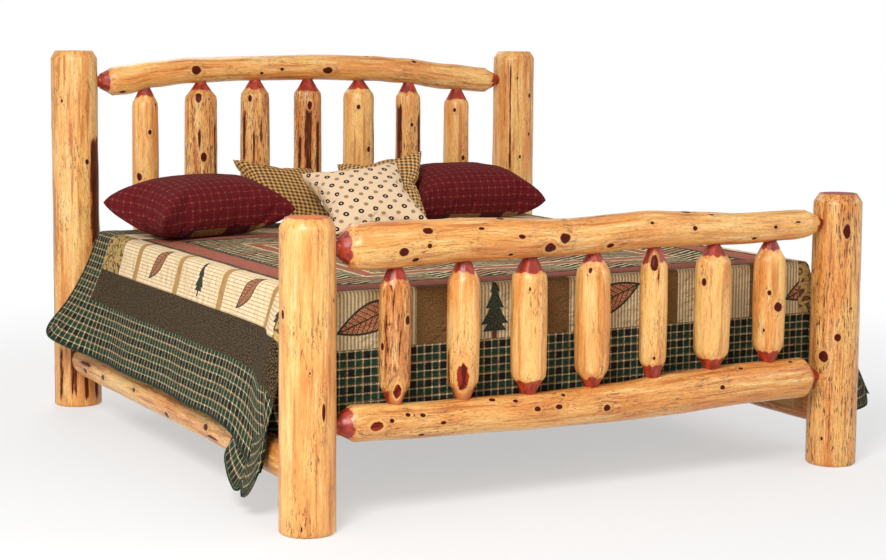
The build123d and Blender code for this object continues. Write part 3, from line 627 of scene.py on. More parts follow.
# %% [markdown]
# The spindles are round logs about two thirds as thick as the posts, each with its own girth.
# Their places come from the rails: a spindle's tenon starts where the rail's side is at that
# X, as on the real bed, where the rails are bored first and the spindles cut to fit.

# %% Spindles
# radius, red depth at the foot and top, knots, bark strips, tone, fleck
FOOT_SPINDLES = [
    (0.0500, (0.040, 0.036),
     [(0.63, 23, 0.010, 0.015), (0.412, -14, 0.017, 0.032), (0.55, -75, 0.007, 0.012)],
     [(0.40, 0.79, -30, 60, 0.40), (0.40, 0.79, 40, 40, 0.38), (0.44, 0.70, -62, 14, 0.6)], 0.6, 1.0),
    (0.0520, (0.040, 0.034), [(0.438, -30, 0.025, 0.060)], [(0.36, 0.56, -92, 10)], 0.05, 0.3),
    (0.0590, (0.050, 0.046), [(0.70, -30, 0.003, 0.006)], [], 0.0, 0.25),
    (0.0580, (0.040, 0.034), [(0.745, -44, 0.007, 0.009), (0.50, 40, 0.004, 0.008)], [], 0.05, 0.25),
    (0.0460, (0.038, 0.040), [(0.755, -36, 0.013, 0.026), (0.44, -28, 0.005, 0.007)],
     [(0.66, 0.78, -14, 8)], 0.1, 0.3),
    (0.0615, (0.044, 0.042), [(0.68, -66, 0.009, 0.013)], [(0.52, 0.74, -52, 3)], 0.1, 0.3),
    (0.0555, (0.044, 0.032), [(0.63, -38, 0.008, 0.010), (0.58, -4, 0.015, 0.018), (0.50, -55, 0.004, 0.007)],
     [], 0.05, 0.3),
]
HEAD_SPINDLES = [
    (0.0535, (0.040, 0.036), [(1.09, 0, 0.008, 0.010), (0.91, -48, 0.012, 0.016), (1.20, 36, 0.005, 0.007)],
     [(0.95, 1.04, 30, 6)], 0.0, 0.5),
    (0.0675, (0.046, 0.040),
     [(1.225, -30, 0.014, 0.020), (0.985, -12, 0.013, 0.021), (0.90, -60, 0.008, 0.011)],
     [(0.98, 1.14, -24, 8), (0.88, 1.16, 38, 10)], 0.12, 1.0),
    (0.0615, (0.044, 0.040), [(1.22, -43, 0.009, 0.016), (0.93, 20, 0.010, 0.013)],
     [(0.92, 1.20, -72, 14), (1.00, 1.17, 4, 7), (0.90, 1.12, -30, 6)], 0.25, 1.0),
    (0.0595, (0.040, 0.050), [(1.19, -16, 0.010, 0.018)],
     [(0.78, 1.22, -22, 24), (0.78, 1.10, -60, 12), (0.78, 1.16, 22, 14)], 0.3, 1.0),
    (0.0675, (0.046, 0.046), [(1.18, -26, 0.009, 0.011), (1.00, 14, 0.009, 0.013)],
     [(0.90, 1.15, 46, 9)], 0.0, 0.5),
    (0.0550, (0.040, 0.040), [(1.10, -10, 0.007, 0.009)],
     [(0.86, 1.22, -74, 26), (0.86, 1.18, 34, 20)], 0.2, 1.0),
    (0.0560, (0.044, 0.044), [(1.16, -37, 0.007, 0.009), (0.95, 5, 0.009, 0.012)], [], 0.0, 0.5),
]


def rail_surface(rows, rail_z, x, way):
    radius, rise = between(rows, x)
    return rail_z + rise + way * radius


def grow_spindles(board, measures, y, low_rail, high_rail, seed):
    """The seven spindles of one end, from the left."""
    for i, (radius, heart, knots, strips, tone, fleck) in enumerate(measures):
        x = (i - (len(measures) - 1) / 2) * SPINDLE_PITCH
        low = rail_surface(*low_rail, x, 1)
        high = rail_surface(*high_rail, x, -1)
        tenon, reach = SPINDLE_TENON
        low_cone, high_cone = low + SPINDLE_NECK, high - SPINDLE_NECK
        rows = [(low - reach, tenon, 0, False), (low - 0.003, tenon, 0, False),
                (low_cone, SPINDLE_WAIST, 0, False), (low_cone + SPINDLE_CONE, 0.93 * radius, 0, False),
                (low_cone + SPINDLE_CONE + 0.02, 0.975 * radius, 0, True),
                ((low + high) / 2, radius, 0, True),
                (high_cone - SPINDLE_CONE - 0.02, 0.975 * radius, 0, True),
                (high_cone - SPINDLE_CONE, 0.93 * radius, 0, True), (high_cone, SPINDLE_WAIST, 0, False),
                (high + 0.003, tenon, 0, False), (high + reach, tenon, 0, False)]
        more = scattered_knots(seed + i, 3, low + 0.1, high - 0.1, 0.011, (90, 240))
        grow_log(f"{board}_spindle_{i + 1}", rows, "upright", (x, y, 0), seed + 1.3 * i, heart,
                 knots + more, strips, tone, fleck, segments=40)


grow_spindles("footboard", FOOT_SPINDLES, FOOT_Y, (FOOT_LOW_ROWS, FOOT_LOW_Z),
              (FOOT_TOP_ROWS, FOOT_TOP_Z), 20)
grow_spindles("headboard", HEAD_SPINDLES, HEAD_Y, (HEAD_LOW_ROWS, HEAD_LOW_Z),
              (HEAD_TOP_ROWS, HEAD_TOP_Z), 40)
print("spindles: 14")


# %% [markdown]
# A post stands on its sawn foot and is beveled all round its top, where the heartwood shows as
# a red disc inside a pale ring. The posts carry the largest knots and the most bark.

# %% Posts
BEVEL = (0.016, 0.030)              # in from the side, down from the top
FOOT_BEVEL = 0.006


def grow_post(node, x, y, size, seed, heart, knots, strips, tone, fleck, pale):
    height, radius = size
    top = radius * POST_TAPER
    rows = [
        (0.0, radius - FOOT_BEVEL, 0, False), (FOOT_BEVEL, radius, 0, False),
        (height - BEVEL[1], top, 0, False), (height, top - BEVEL[0], 0, False),
    ]
    grow_log(node, rows, "upright", (x, y, 0), seed, heart, knots, strips, tone, fleck,
             segments=64, pale=pale)


grow_post("footboard_post_left", -POST_X, FOOT_Y, FOOT_POST, 60.2, (0.040, 0.066),
          [(0.67, -83, 0.007, 0.014), (0.71, 39, 0.004, 0.007), (0.38, 9, 0.008, 0.038),
           (0.09, -105, 0.004, 0.006), (0.03, -36, 0.003, 0.010),
           (0.50, -20, 0.003, 0.005)] + scattered_knots(61, 7, 0.1, 0.85, turns=(70, 230)),
          [(0.33, 0.46, 14, 5), (0.00, 0.09, -30, 4)], 0.12, 0.35, 1.0)
grow_post("footboard_post_right", POST_X, FOOT_Y, FOOT_POST, 63.7, (0.040, 0.060),
          [(0.83, -18, 0.014, 0.026), (0.46, -33, 0.012, 0.014), (0.39, -64, 0.018, 0.021),
           (0.33, 46, 0.010, 0.013), (0.56, -1, 0.004, 0.006), (0.19, 10, 0.003, 0.020),
           (0.10, -62, 0.005, 0.007)] + scattered_knots(64, 7, 0.1, 0.85, turns=(70, 230)),
          [(0.17, 0.30, 12, 4)], 0.2, 1.0, 0.0)
# The headboard posts get almost no tone, so they are painted lighter to make up for the weaker light of the
# key lamp at the head end.
grow_post("headboard_post_left", -POST_X, HEAD_Y, HEAD_POST, 66.4, (0.040, 0.050),
          [(0.63, 30, 0.012, 0.018), (0.98, 12, 0.008, 0.012), (0.30, -96, 0.010, 0.020),
           (1.22, -50, 0.005, 0.008)] + scattered_knots(67, 9, 0.1, 1.3, turns=(80, 240)),
          [(0.60, 1.10, 40, 26, 0.95), (0.00, 0.27, -62, 9), (0.02, 0.30, -28, 10), (0.00, 0.22, 2, 9),
           (0.44, 0.66, 44, 7), (0.00, 0.20, 34, 10), (0.24, 0.60, -96, 5)], 0.06, 0.7, 0.6)
grow_post("headboard_post_right", POST_X, HEAD_Y, HEAD_POST, 69.9, (0.040, 0.058),
          [(1.22, 21, 0.008, 0.011), (1.30, -20, 0.004, 0.007), (1.05, 20, 0.006, 0.009),
           (0.95, -10, 0.005, 0.008)] + scattered_knots(70, 9, 0.1, 1.3, turns=(80, 240)),
          [(0.86, 1.40, -40, 3.5)], 0.0, 0.7, 0.6)
print("posts: 4")

# %% [markdown]
# The side rails are logs too, milled flat on the inside to carry the deck's cleats. Their ends
# sit 12 mm deep in the posts and hang there on steel hooks.

# %% Side rails
SIDE_RAIL_Z = 0.188
SIDE_RAIL_RADIUS = 0.057
SIDE_RAIL_FLAT = 0.040
for side, word in ((-1, "left"), (1, "right")):
    low_end, high_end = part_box(f"side_rail_{word}")
    ease = 0.060
    rows = [
        (low_end.y, SIDE_RAIL_RADIUS * 0.93, 0, False), (low_end.y + ease, SIDE_RAIL_RADIUS, 0, True),
        (0.3 * side, SIDE_RAIL_RADIUS * 0.96, 0, True), (high_end.y - ease, SIDE_RAIL_RADIUS, 0, True),
        (high_end.y, SIDE_RAIL_RADIUS * 0.90, 0, True),
    ]
    inner = 180 if side < 0 else 0
    outer = [(0.62, 0, 0.010, 0.016), (0.28, 12, 0.008, 0.012), (-0.05, -20, 0.012, 0.02),
             (-0.42, 8, 0.011, 0.018), (-0.70, -14, 0.013, 0.022), (0.83, -8, 0.014, 0.030),
             (-0.82, 20, 0.008, 0.012)]
    turned = [(k[0], k[1] + (0 if side < 0 else 180), k[2], k[3]) for k in outer]
    strips = [(0.74, 0.93, 18 + inner - 180, 14), (-0.55, -0.40, -18 + inner - 180, 10),
              (-0.80, -0.66, -26 + inner - 180, 8)]
    # Tone is painted light and shade on the side rails. The left rail gets none, so it is painted lighter
    # against the quilt's shadow on it. The right rail's full tone is painted shade for its side that lies in
    # the shadow under the bed.
    grow_log(f"side_rail_{word}", rows, "lengthwise", (side * POST_X, 0, SIDE_RAIL_Z), 80 + side,
             (0.030, 0.030), turned, strips, 0.0 if side < 0 else 1.0, 0.7, segments=48,
             flat=(inner, SIDE_RAIL_FLAT))
print("side rails: 2")

# %% [markdown]
# ## Deck and hardware
#
# The slats, cleats and legs are stock lumber, planed and left bare. Their solids have the
# right shape already, so only their material changes. Lumber has its grain along the board, so
# the finish is made once for each direction, with the noise stretched that way. Screws, hook
# plates and glides are small: zinc steel with faint scratches, and black plastic.

# %% Deck finishes
def lumber_finish(name, along):
    """Planed softwood with its grain along X, Y or Z."""
    wood = Finish(name, 0.62)
    scale = [34.0, 34.0, 34.0]
    scale["XYZ".index(along)] = 1.6
    place = wood.place()
    lines = wood.noise(wood.stretch(place, tuple(scale)), 1.0, 4.0, 0.6)
    broad = wood.noise(wood.stretch(place, tuple(s * 0.25 for s in scale)), 1.0, 2.0)
    tone = wood.mix(wood.step(lines, 0.35, 0.66), colour(226, 190, 138), colour(188, 142, 88))
    tone = wood.over(tone, colour(168, 120, 72), wood.step(broad, 0.45, 0.7), 0.5)
    pores = wood.noise(wood.stretch(place, tuple(s * 7 for s in scale)), 1.0, 2.0)
    tone = wood.over(tone, colour(132, 88, 50), wood.step(pores, 0.6, 0.8), 0.35)
    wood.paint(tone)
    wood.bump(lines, 0.3, 0.001)
    wood.bump(pores, 0.25, 0.0006)
    return wood.material


def steel_finish(name, tint, roughness):
    steel = Finish(name, roughness, Metallic=1.0)
    scratch = steel.noise(steel.stretch(steel.place(), (900.0, 90.0, 300.0)), 1.0, 3.0)
    dull = tuple(0.6 * c for c in tint[:3]) + (1.0,)
    steel.paint(steel.mix(steel.step(scratch, 0.4, 0.7), tint, dull))
    steel.paint(steel.plus(roughness - 0.08, steel.times(scratch, 0.25)), "Roughness")
    steel.bump(scratch, 0.2, 0.0003)
    return steel.material


def plastic_finish():
    plastic = Finish("glide_plastic", 0.5)
    grain = plastic.noise(plastic.place(), 900.0, 2.0)
    plastic.paint(plastic.mix(grain, colour(30, 30, 31), colour(48, 48, 49)))
    plastic.bump(grain, 0.2, 0.0003)
    return plastic.material


def finish_nodes(material, slot, *names):
    for name in names:
        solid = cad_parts[name]
        solid.data.materials.clear()
        solid.data.materials.append(material)


finish_nodes(lumber_finish("slat_lumber", "X"), "sawn_softwood", *[f"slat_{i}" for i in range(1, 6)])
finish_nodes(lumber_finish("cleat_lumber", "Y"), "sawn_softwood", "rail_cleat_left", "rail_cleat_right")
finish_nodes(lumber_finish("leg_lumber", "Z"), "sawn_softwood", *[f"centre_leg_{i}" for i in (1, 2, 3)])
finish_nodes(steel_finish("zinc_steel", colour(196, 196, 192), 0.38), "zinc_steel",
             "rail_hook_plates", "rail_receiver_plates")
finish_nodes(steel_finish("screw_steel", colour(198, 186, 140), 0.35), "screw_steel",
             "rail_plate_screws", "cleat_screws", "slat_screws", "leg_screws")
finish_nodes(plastic_finish(), "glide_plastic", "leg_glides")
print("deck and hardware finished")


# %% [markdown]
# ## Foundation and mattress
#
# Under the quilt lie a split box spring and a mattress. They show through the headboard and
# under the hem. Each starts as a cube whose edges are cut into loops and beveled, so that its
# sides can crown a little between the seams, and each has the cord of tape that is sewn round
# its rims. The tape is a narrow band along the same outline, thickened and rounded.

# %% Ticking
def ticking_finish(name, base, line, pitch):
    """Woven mattress cloth: a faint stripe and a small quilted diamond."""
    cloth = Finish(name, 0.85, Sheen_Weight=0.2)
    place = cloth.place()
    x, y, z = cloth.split(place)
    run = cloth.plus(x, y)
    threads = cloth.noise(place, 620.0, 2.0)
    tone = cloth.over(base, line, cloth.stripes(run, pitch, pitch * 0.2), 0.55)
    tone = cloth.over(tone, line, cloth.step(threads, 0.35, 0.7), 0.25)
    cloth.paint(tone)
    rising = cloth.stripes(cloth.plus(run, z), 0.07, 0.008)
    falling = cloth.stripes(cloth.minus(run, z), 0.07, 0.008)
    cloth.bump(cloth.math("MAXIMUM", rising, falling), -0.5, 0.004)
    cloth.bump(threads, 0.3, 0.0008)
    return cloth.material


def tape_finish(name, tint):
    tape = Finish(name, 0.8)
    ribs = tape.noise(tape.place(), 900.0, 1.0)
    tape.paint(tape.mix(ribs, tint, tuple(0.7 * c for c in tint[:3]) + (1.0,)))
    tape.bump(ribs, 0.4, 0.0006)
    return tape.material


def soft_block(low, high, corner, rim, crown):
    """A box with rounded corners whose sides swell a little."""
    block = bmesh.new()
    bmesh.ops.create_cube(block, size=1.0)
    size = [h - l for l, h in zip(low, high)]
    middle = [(l + h) / 2 for l, h in zip(low, high)]
    bmesh.ops.scale(block, verts=block.verts[:], vec=size)
    upright = [e for e in block.edges if abs(e.verts[0].co.z - e.verts[1].co.z) > size[2] / 2]
    bmesh.ops.bevel(block, geom=upright, offset=corner, segments=6, profile=0.5, affect="EDGES", material=-1)
    flat = [e for e in block.edges if abs(e.verts[0].co.z - e.verts[1].co.z) < 1e-6]
    rims = [e for e in flat if len(e.link_faces) == 2 and e.calc_face_angle(0) > 1.2]
    bmesh.ops.bevel(block, geom=rims, offset=rim, segments=4, profile=0.5, affect="EDGES", material=-1)
    for axis, count in ((0, 30), (1, 30), (2, 7)):
        for i in range(1, count):
            cut = [0.0, 0.0, 0.0]
            cut[axis] = (i / count - 0.5) * size[axis]
            normal = [0.0, 0.0, 0.0]
            normal[axis] = 1.0
            bmesh.ops.bisect_plane(block, geom=block.verts[:] + block.edges[:] + block.faces[:],
                                   plane_co=cut, plane_no=normal, dist=1e-5)
    for v in block.verts:
        share = [2 * v.co[i] / size[i] for i in range(3)]
        if abs(share[2]) < 0.98:
            v.co.x *= 1 - crown / size[0] * 2 * share[2] ** 2
            v.co.y *= 1 - crown / size[1] * 2 * share[2] ** 2
    bmesh.ops.translate(block, verts=block.verts[:], vec=middle)
    bmesh.ops.recalc_face_normals(block, faces=block.faces[:])
    return block


def rim_tape(block_low, block_high, corner, z, radius, out):
    """A round tape that follows the rim of a soft block."""
    line = bmesh.new()
    bmesh.ops.create_cube(line, size=1.0)
    width, length = block_high.x - block_low.x + 2 * out, block_high.y - block_low.y + 2 * out
    bmesh.ops.scale(line, verts=line.verts[:], vec=(width, length, 2 * radius))
    upright = [e for e in line.edges if abs(e.verts[0].co.z - e.verts[1].co.z) > radius]
    bmesh.ops.bevel(line, geom=upright, offset=corner, segments=8, profile=0.5, affect="EDGES", material=-1)
    caps = [f for f in line.faces if abs(f.normal.z) > 0.9]
    bmesh.ops.delete(line, geom=caps, context="FACES_ONLY")
    bmesh.ops.solidify(line, geom=line.faces[:], thickness=2 * radius)
    outer = [e for e in line.edges if e.calc_face_angle(0) > 1.2]
    bmesh.ops.bevel(line, geom=outer, offset=radius * 0.8, segments=3, profile=0.5, affect="EDGES",
                    material=-1)
    middle = (block_low + block_high) / 2
    bmesh.ops.translate(line, verts=line.verts[:], vec=(middle.x, middle.y, z))
    bmesh.ops.recalc_face_normals(line, faces=line.faces[:])
    return line


def joined(first, second):
    """Adds the second bmesh to the first, with its faces in material slot 1."""
    carrier = bpy.data.meshes.new("carrier")
    for face in second.faces:
        face.material_index = 1
    second.to_mesh(carrier)
    second.free()
    first.from_mesh(carrier)
    bpy.data.meshes.remove(carrier)


# %% Box springs and mattress
TAPE_RADIUS = 0.004
base_ticking = ticking_finish("base_ticking", colour(226, 220, 206), colour(176, 168, 150), 0.022)
mattress_ticking = ticking_finish("mattress_ticking", colour(240, 236, 226), colour(196, 186, 166), 0.045)
base_tape = tape_finish("base_tape", colour(150, 140, 118))
mattress_tape = tape_finish("mattress_tape", colour(206, 196, 172))


def soft_base(node, corner, rim, crown, material, tape, body):
    low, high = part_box(node)
    block = soft_block(low, high, corner, rim, crown)
    for z in (low.z + rim + TAPE_RADIUS, high.z - rim - TAPE_RADIUS):
        joined(block, rim_tape(low, high, corner, z, TAPE_RADIUS, -crown * 0.6))
    piece = finished(block, node + "_cover", material, body, [node])
    piece.data.materials.append(tape)
    return piece


soft_base("box_spring_left", 0.018, 0.010, 0.002, base_ticking, base_tape, "bed_frame")
soft_base("box_spring_right", 0.018, 0.010, 0.002, base_ticking, base_tape, "bed_frame")
soft_base("mattress", 0.045, 0.018, 0.006, mattress_ticking, mattress_tape, "mattress_set")
print("mattress and box springs")

# %% [markdown]
# ## Quilt
#
# A quilt is a flat cloth, and it is made as one: a fine grid, 2.87 m wide and 2.41 m long, with
# a UV map in metres that never changes. Each vertex is then laid where the cloth would come to
# lie. The top is level, the sides fall over the mattress's edge and stand off a little because
# the quilt is stiff, and the foot drop goes down between mattress and footboard. A square is
# left over at each foot corner: the left one folds back behind the side and hangs in a point,
# and the right one stands out beside its post. Because the pattern reads the flat UV map, it
# bends and folds with the cloth.

# %% Quilt measures
QUILT_WIDTH = 2.87
QUILT_LENGTH = 2.41
QUILT_THICKNESS = 0.008
QUILT_CELL = 0.0145                 # of the grid
HALF_TOP = 0.966                    # middle of the mattress to its side
TOP_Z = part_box("quilt")[1].z
HEAD_END_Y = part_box("quilt")[1].y
FOOT_PLANE_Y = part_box("quilt")[0].y + 0.001
TOP_LENGTH = HEAD_END_Y - FOOT_PLANE_Y
SIDE_DROP = QUILT_WIDTH / 2 - HALF_TOP
FOOT_DROP = QUILT_LENGTH - TOP_LENGTH
SIDE_SLANT = math.radians(15.0)
FOLD_RADIUS = 0.035
CORNER_ROUND = 0.09
FLARE_LENGTH = 0.42                 # of the loose head corner, along the bed
FLARE_SLANT = math.radians(17.0)    # added at the very corner
SAG_START_Y = -0.60                 # the side hem dips from here to the foot corner
SAG = 0.10
print(f"quilt: top {TOP_LENGTH:.2f} m, side drop {SIDE_DROP:.2f} m, foot drop {FOOT_DROP:.2f} m")

# The hem of a foot corner: share of the turn from the side's edge to the foot's edge, then out
# from the mattress, along the bed from its foot, and height. The left corner is folded back
# behind the side and hangs in a point, and the right one stands out beside its post.
CORNER_HEMS = {
    -1: [
        (0.00, 0.150, 0.050, 0.168), (0.10, 0.154, 0.046, 0.150), (0.22, 0.152, 0.056, 0.140),
        (0.36, 0.150, 0.110, 0.100), (0.50, 0.146, 0.195, 0.078), (0.62, 0.134, 0.300, 0.122),
        (0.72, 0.118, 0.330, 0.190), (0.84, 0.080, 0.160, 0.270), (0.93, 0.040, 0.045, 0.285),
        (1.00, 0.003, 0.000, 0.275),
    ],
    1: [
        (0.00, 0.150, 0.010, 0.168), (0.20, 0.212, 0.004, 0.170), (0.40, 0.278, -0.002, 0.188),
        (0.55, 0.290, -0.004, 0.226), (0.70, 0.240, -0.004, 0.260), (0.85, 0.112, -0.002, 0.275),
        (1.00, 0.003, 0.000, 0.275),
    ],
}
CORNER_PULL = (0.095, 0.045)        # how far the left corner's ridge is drawn back, high and low
CORNER_BULGE = 0.042                # how far it stands out there
RIDGE_START_Y = -0.74               # the ridge begins here
RIDGE_LENGTH = 0.26


def smooth(share):
    share = min(max(share, 0.0), 1.0)
    return share * share * (3 - 2 * share)


def along_table(rows, share):
    """A smooth curve through rows that start with their share."""
    for i in range(len(rows) - 1):
        here, after = rows[i], rows[i + 1]
        if share <= after[0]:
            before, beyond = rows[max(i - 1, 0)], rows[min(i + 2, len(rows) - 1)]
            t = (share - here[0]) / (after[0] - here[0])
            return [
                0.5 * (2 * h + (a - b) * t + (2 * b - 5 * h + 4 * a - y) * t * t
                       + (3 * h - b - 3 * a + y) * t ** 3)
                for b, h, a, y in zip(before[1:], here[1:], after[1:], beyond[1:])
            ]
    return list(rows[-1][1:])


def fold_over(distance, slant, radius):
    """Out and down after this much cloth has gone over an edge, for a slant from upright."""
    turn = math.pi / 2 - slant
    arc = radius * turn
    if distance <= arc:
        angle = distance / radius
        return radius * math.sin(angle), radius * (1 - math.cos(angle))
    rest = distance - arc
    out = radius * math.sin(turn) + rest * math.sin(slant)
    down = radius * (1 - math.cos(turn)) + rest * math.cos(slant)
    return out, down


# %% Draping
def pucker(u, v):
    """Small rises of the quilted top between its seams."""
    broad_rise = noise.noise(Vector((u * 9, v * 9, 0.0)))
    return 0.0022 * broad_rise + 0.0012 * noise.noise(Vector((u * 26, v * 26, 3.0)))


def side_point(side, distance, y):
    """A point of the side drop, this far over the edge."""
    head = smooth((y - (HEAD_END_Y - FLARE_LENGTH)) / FLARE_LENGTH)
    foot = smooth((SAG_START_Y - y) / 0.38)
    share = distance / SIDE_DROP
    slant = SIDE_SLANT + FLARE_SLANT * head ** 1.6 * share + 0.035 * foot
    out, down = fold_over(distance, slant, FOLD_RADIUS)
    broad_wave = noise.noise(Vector((y * 2.6 + side, 0.5, 1.0)))
    wave = 0.013 * broad_wave + 0.007 * noise.noise(Vector((y * 7, side, 5.0)))
    out += share ** 1.5 * wave * (1 - foot)
    down += foot * SAG * share ** 2 * 0.9 - 0.010 * head * share
    out += 0.0045 * share * noise.noise(Vector((y * 8, distance * 8, 2.0 + side)))
    if side < 0:
        by_corner = smooth((RIDGE_START_Y - y) / RIDGE_LENGTH)
        out += CORNER_BULGE * by_corner * math.sin(math.pi * min(share * 1.1, 1.0))
        pull = CORNER_PULL[0] + share * (CORNER_PULL[1] - CORNER_PULL[0])
        y += by_corner * smooth(distance / 0.10) * pull
    return Vector((side * (HALF_TOP - 0.02 + out), y, TOP_Z - down))


def foot_point(x, distance):
    """A point of the foot drop."""
    out, down = fold_over(distance, 0.0, 0.012)
    share = distance / FOOT_DROP
    wave = 0.0025 * noise.noise(Vector((x * 5, distance * 3, 9.0))) * share
    return Vector((x, FOOT_PLANE_Y + 0.011 - out + wave, TOP_Z - down))


def corner_point(side, over_side, over_foot):
    """A point of the square left over at a foot corner."""
    share = math.atan2(over_foot, over_side) / (math.pi / 2)
    reach = math.hypot(over_side, over_foot)
    angle = share * math.pi / 2
    hem = min(SIDE_DROP / max(math.cos(angle), 1e-6), FOOT_DROP / max(math.sin(angle), 1e-6))
    out, along, height = along_table(CORNER_HEMS[side], share)
    t = reach / hem
    top = Vector((side * HALF_TOP, FOOT_PLANE_Y + 0.012, TOP_Z - 0.012))
    ray = top.lerp(Vector((side * (HALF_TOP + out), top.y + along, height)), t)
    ray.x += side * 0.012 * math.sin(math.pi * min(t, 1.0))
    by_side = side_point(side, SIDE_DROP * t, top.y)
    by_foot = foot_point(side * HALF_TOP, FOOT_DROP * t)
    ray = ray.lerp(by_side, smooth(1 - share / 0.22)).lerp(by_foot, smooth(1 - (1 - share) / 0.16))
    return by_side.lerp(by_foot, smooth(share)).lerp(ray, smooth(t * 3.0))


def eased(u, v):
    """The same flat point on a quilt whose corners are cut round."""
    side = 1 if u > 0 else -1
    a, h, f = QUILT_WIDTH / 2 - abs(u), v, QUILT_LENGTH - v
    end, way = (h, 1) if h < f else (f, -1)
    if a >= CORNER_ROUND or end >= CORNER_ROUND:
        return u, v
    x, y = CORNER_ROUND - a, CORNER_ROUND - end
    shrink = max(x, y) / max(math.hypot(x, y), 1e-9)
    a, end = CORNER_ROUND - x * shrink, CORNER_ROUND - y * shrink
    return side * (QUILT_WIDTH / 2 - a), end if way > 0 else QUILT_LENGTH - end


def draped(u, v):
    """Where the flat quilt's point lies: u across from the middle, v from the head end."""
    u, v = eased(u, v)
    side = 1 if u > 0 else -1
    over_side = abs(u) - (HALF_TOP - 0.02)
    over_foot = v - (TOP_LENGTH - 0.011)
    y = HEAD_END_Y - v
    if over_side <= 0 and over_foot <= 0:
        edge = min(1.0, -over_side / 0.05, -over_foot / 0.05)
        return Vector((u, y, TOP_Z + pucker(u, v) * edge - 0.0012 * edge))
    if over_foot <= 0:
        return side_point(side, over_side, y)
    if over_side <= 0:
        return foot_point(u, over_foot)
    return corner_point(side, over_side, over_foot)


# %% Quilt mesh
def quilt_mesh():
    cloth = bmesh.new()
    across, down = round(QUILT_WIDTH / QUILT_CELL), round(QUILT_LENGTH / QUILT_CELL)
    bmesh.ops.create_grid(cloth, x_segments=across, y_segments=down, size=0.5)
    bmesh.ops.scale(cloth, verts=cloth.verts[:], vec=(QUILT_WIDTH, -QUILT_LENGTH, 1.0))
    bmesh.ops.translate(cloth, verts=cloth.verts[:], vec=(0, QUILT_LENGTH / 2, 0))
    flat = cloth.loops.layers.uv.new("flat")
    for face in cloth.faces:
        for loop in face.loops:
            loop[flat].uv = (loop.vert.co.x + QUILT_WIDTH / 2, loop.vert.co.y)
    for v in cloth.verts:
        v.co = draped(v.co.x, v.co.y)
    bmesh.ops.recalc_face_normals(cloth, faces=cloth.faces[:])
    middle = min(cloth.faces, key=lambda f: f.calc_center_median().xy.length)
    if middle.normal.z < 0:
        bmesh.ops.reverse_faces(cloth, faces=cloth.faces[:])
    return cloth


# %% [markdown]
# ## The quilt's pattern
#
# The patchwork is drawn by distances on the flat cloth: from the side hem, from the foot hem
# and from the head hem. Each strip of the design lies between two such distances. From the hem
# in: a green windowpane plaid, a dark mottled band along the sides, a ribbed cream panel with
# tan bars and sewn-on leaves and pine trees, a rust frame and a field of slanted stripes.

# %% Quilt pattern
PLAID_SIDE, PLAID_FOOT, PLAID_HEAD = 0.205, 0.255, 0.165
DARK_SIDE = 0.335
PANEL_SIDE, PANEL_FOOT, PANEL_HEAD = 0.515, 0.450, 0.345
LINE_WIDTH = 0.020
RUST_WIDTH = 0.098
FIELD_LINE = 0.300                  # a second, thinner rust frame inside the first
PANE = 0.0270
FOOT_BARS = (0.535, 0.435)          # first brown bar from the middle, and from bar to bar
EDGE = 0.0012                       # softness of a border between two cloths


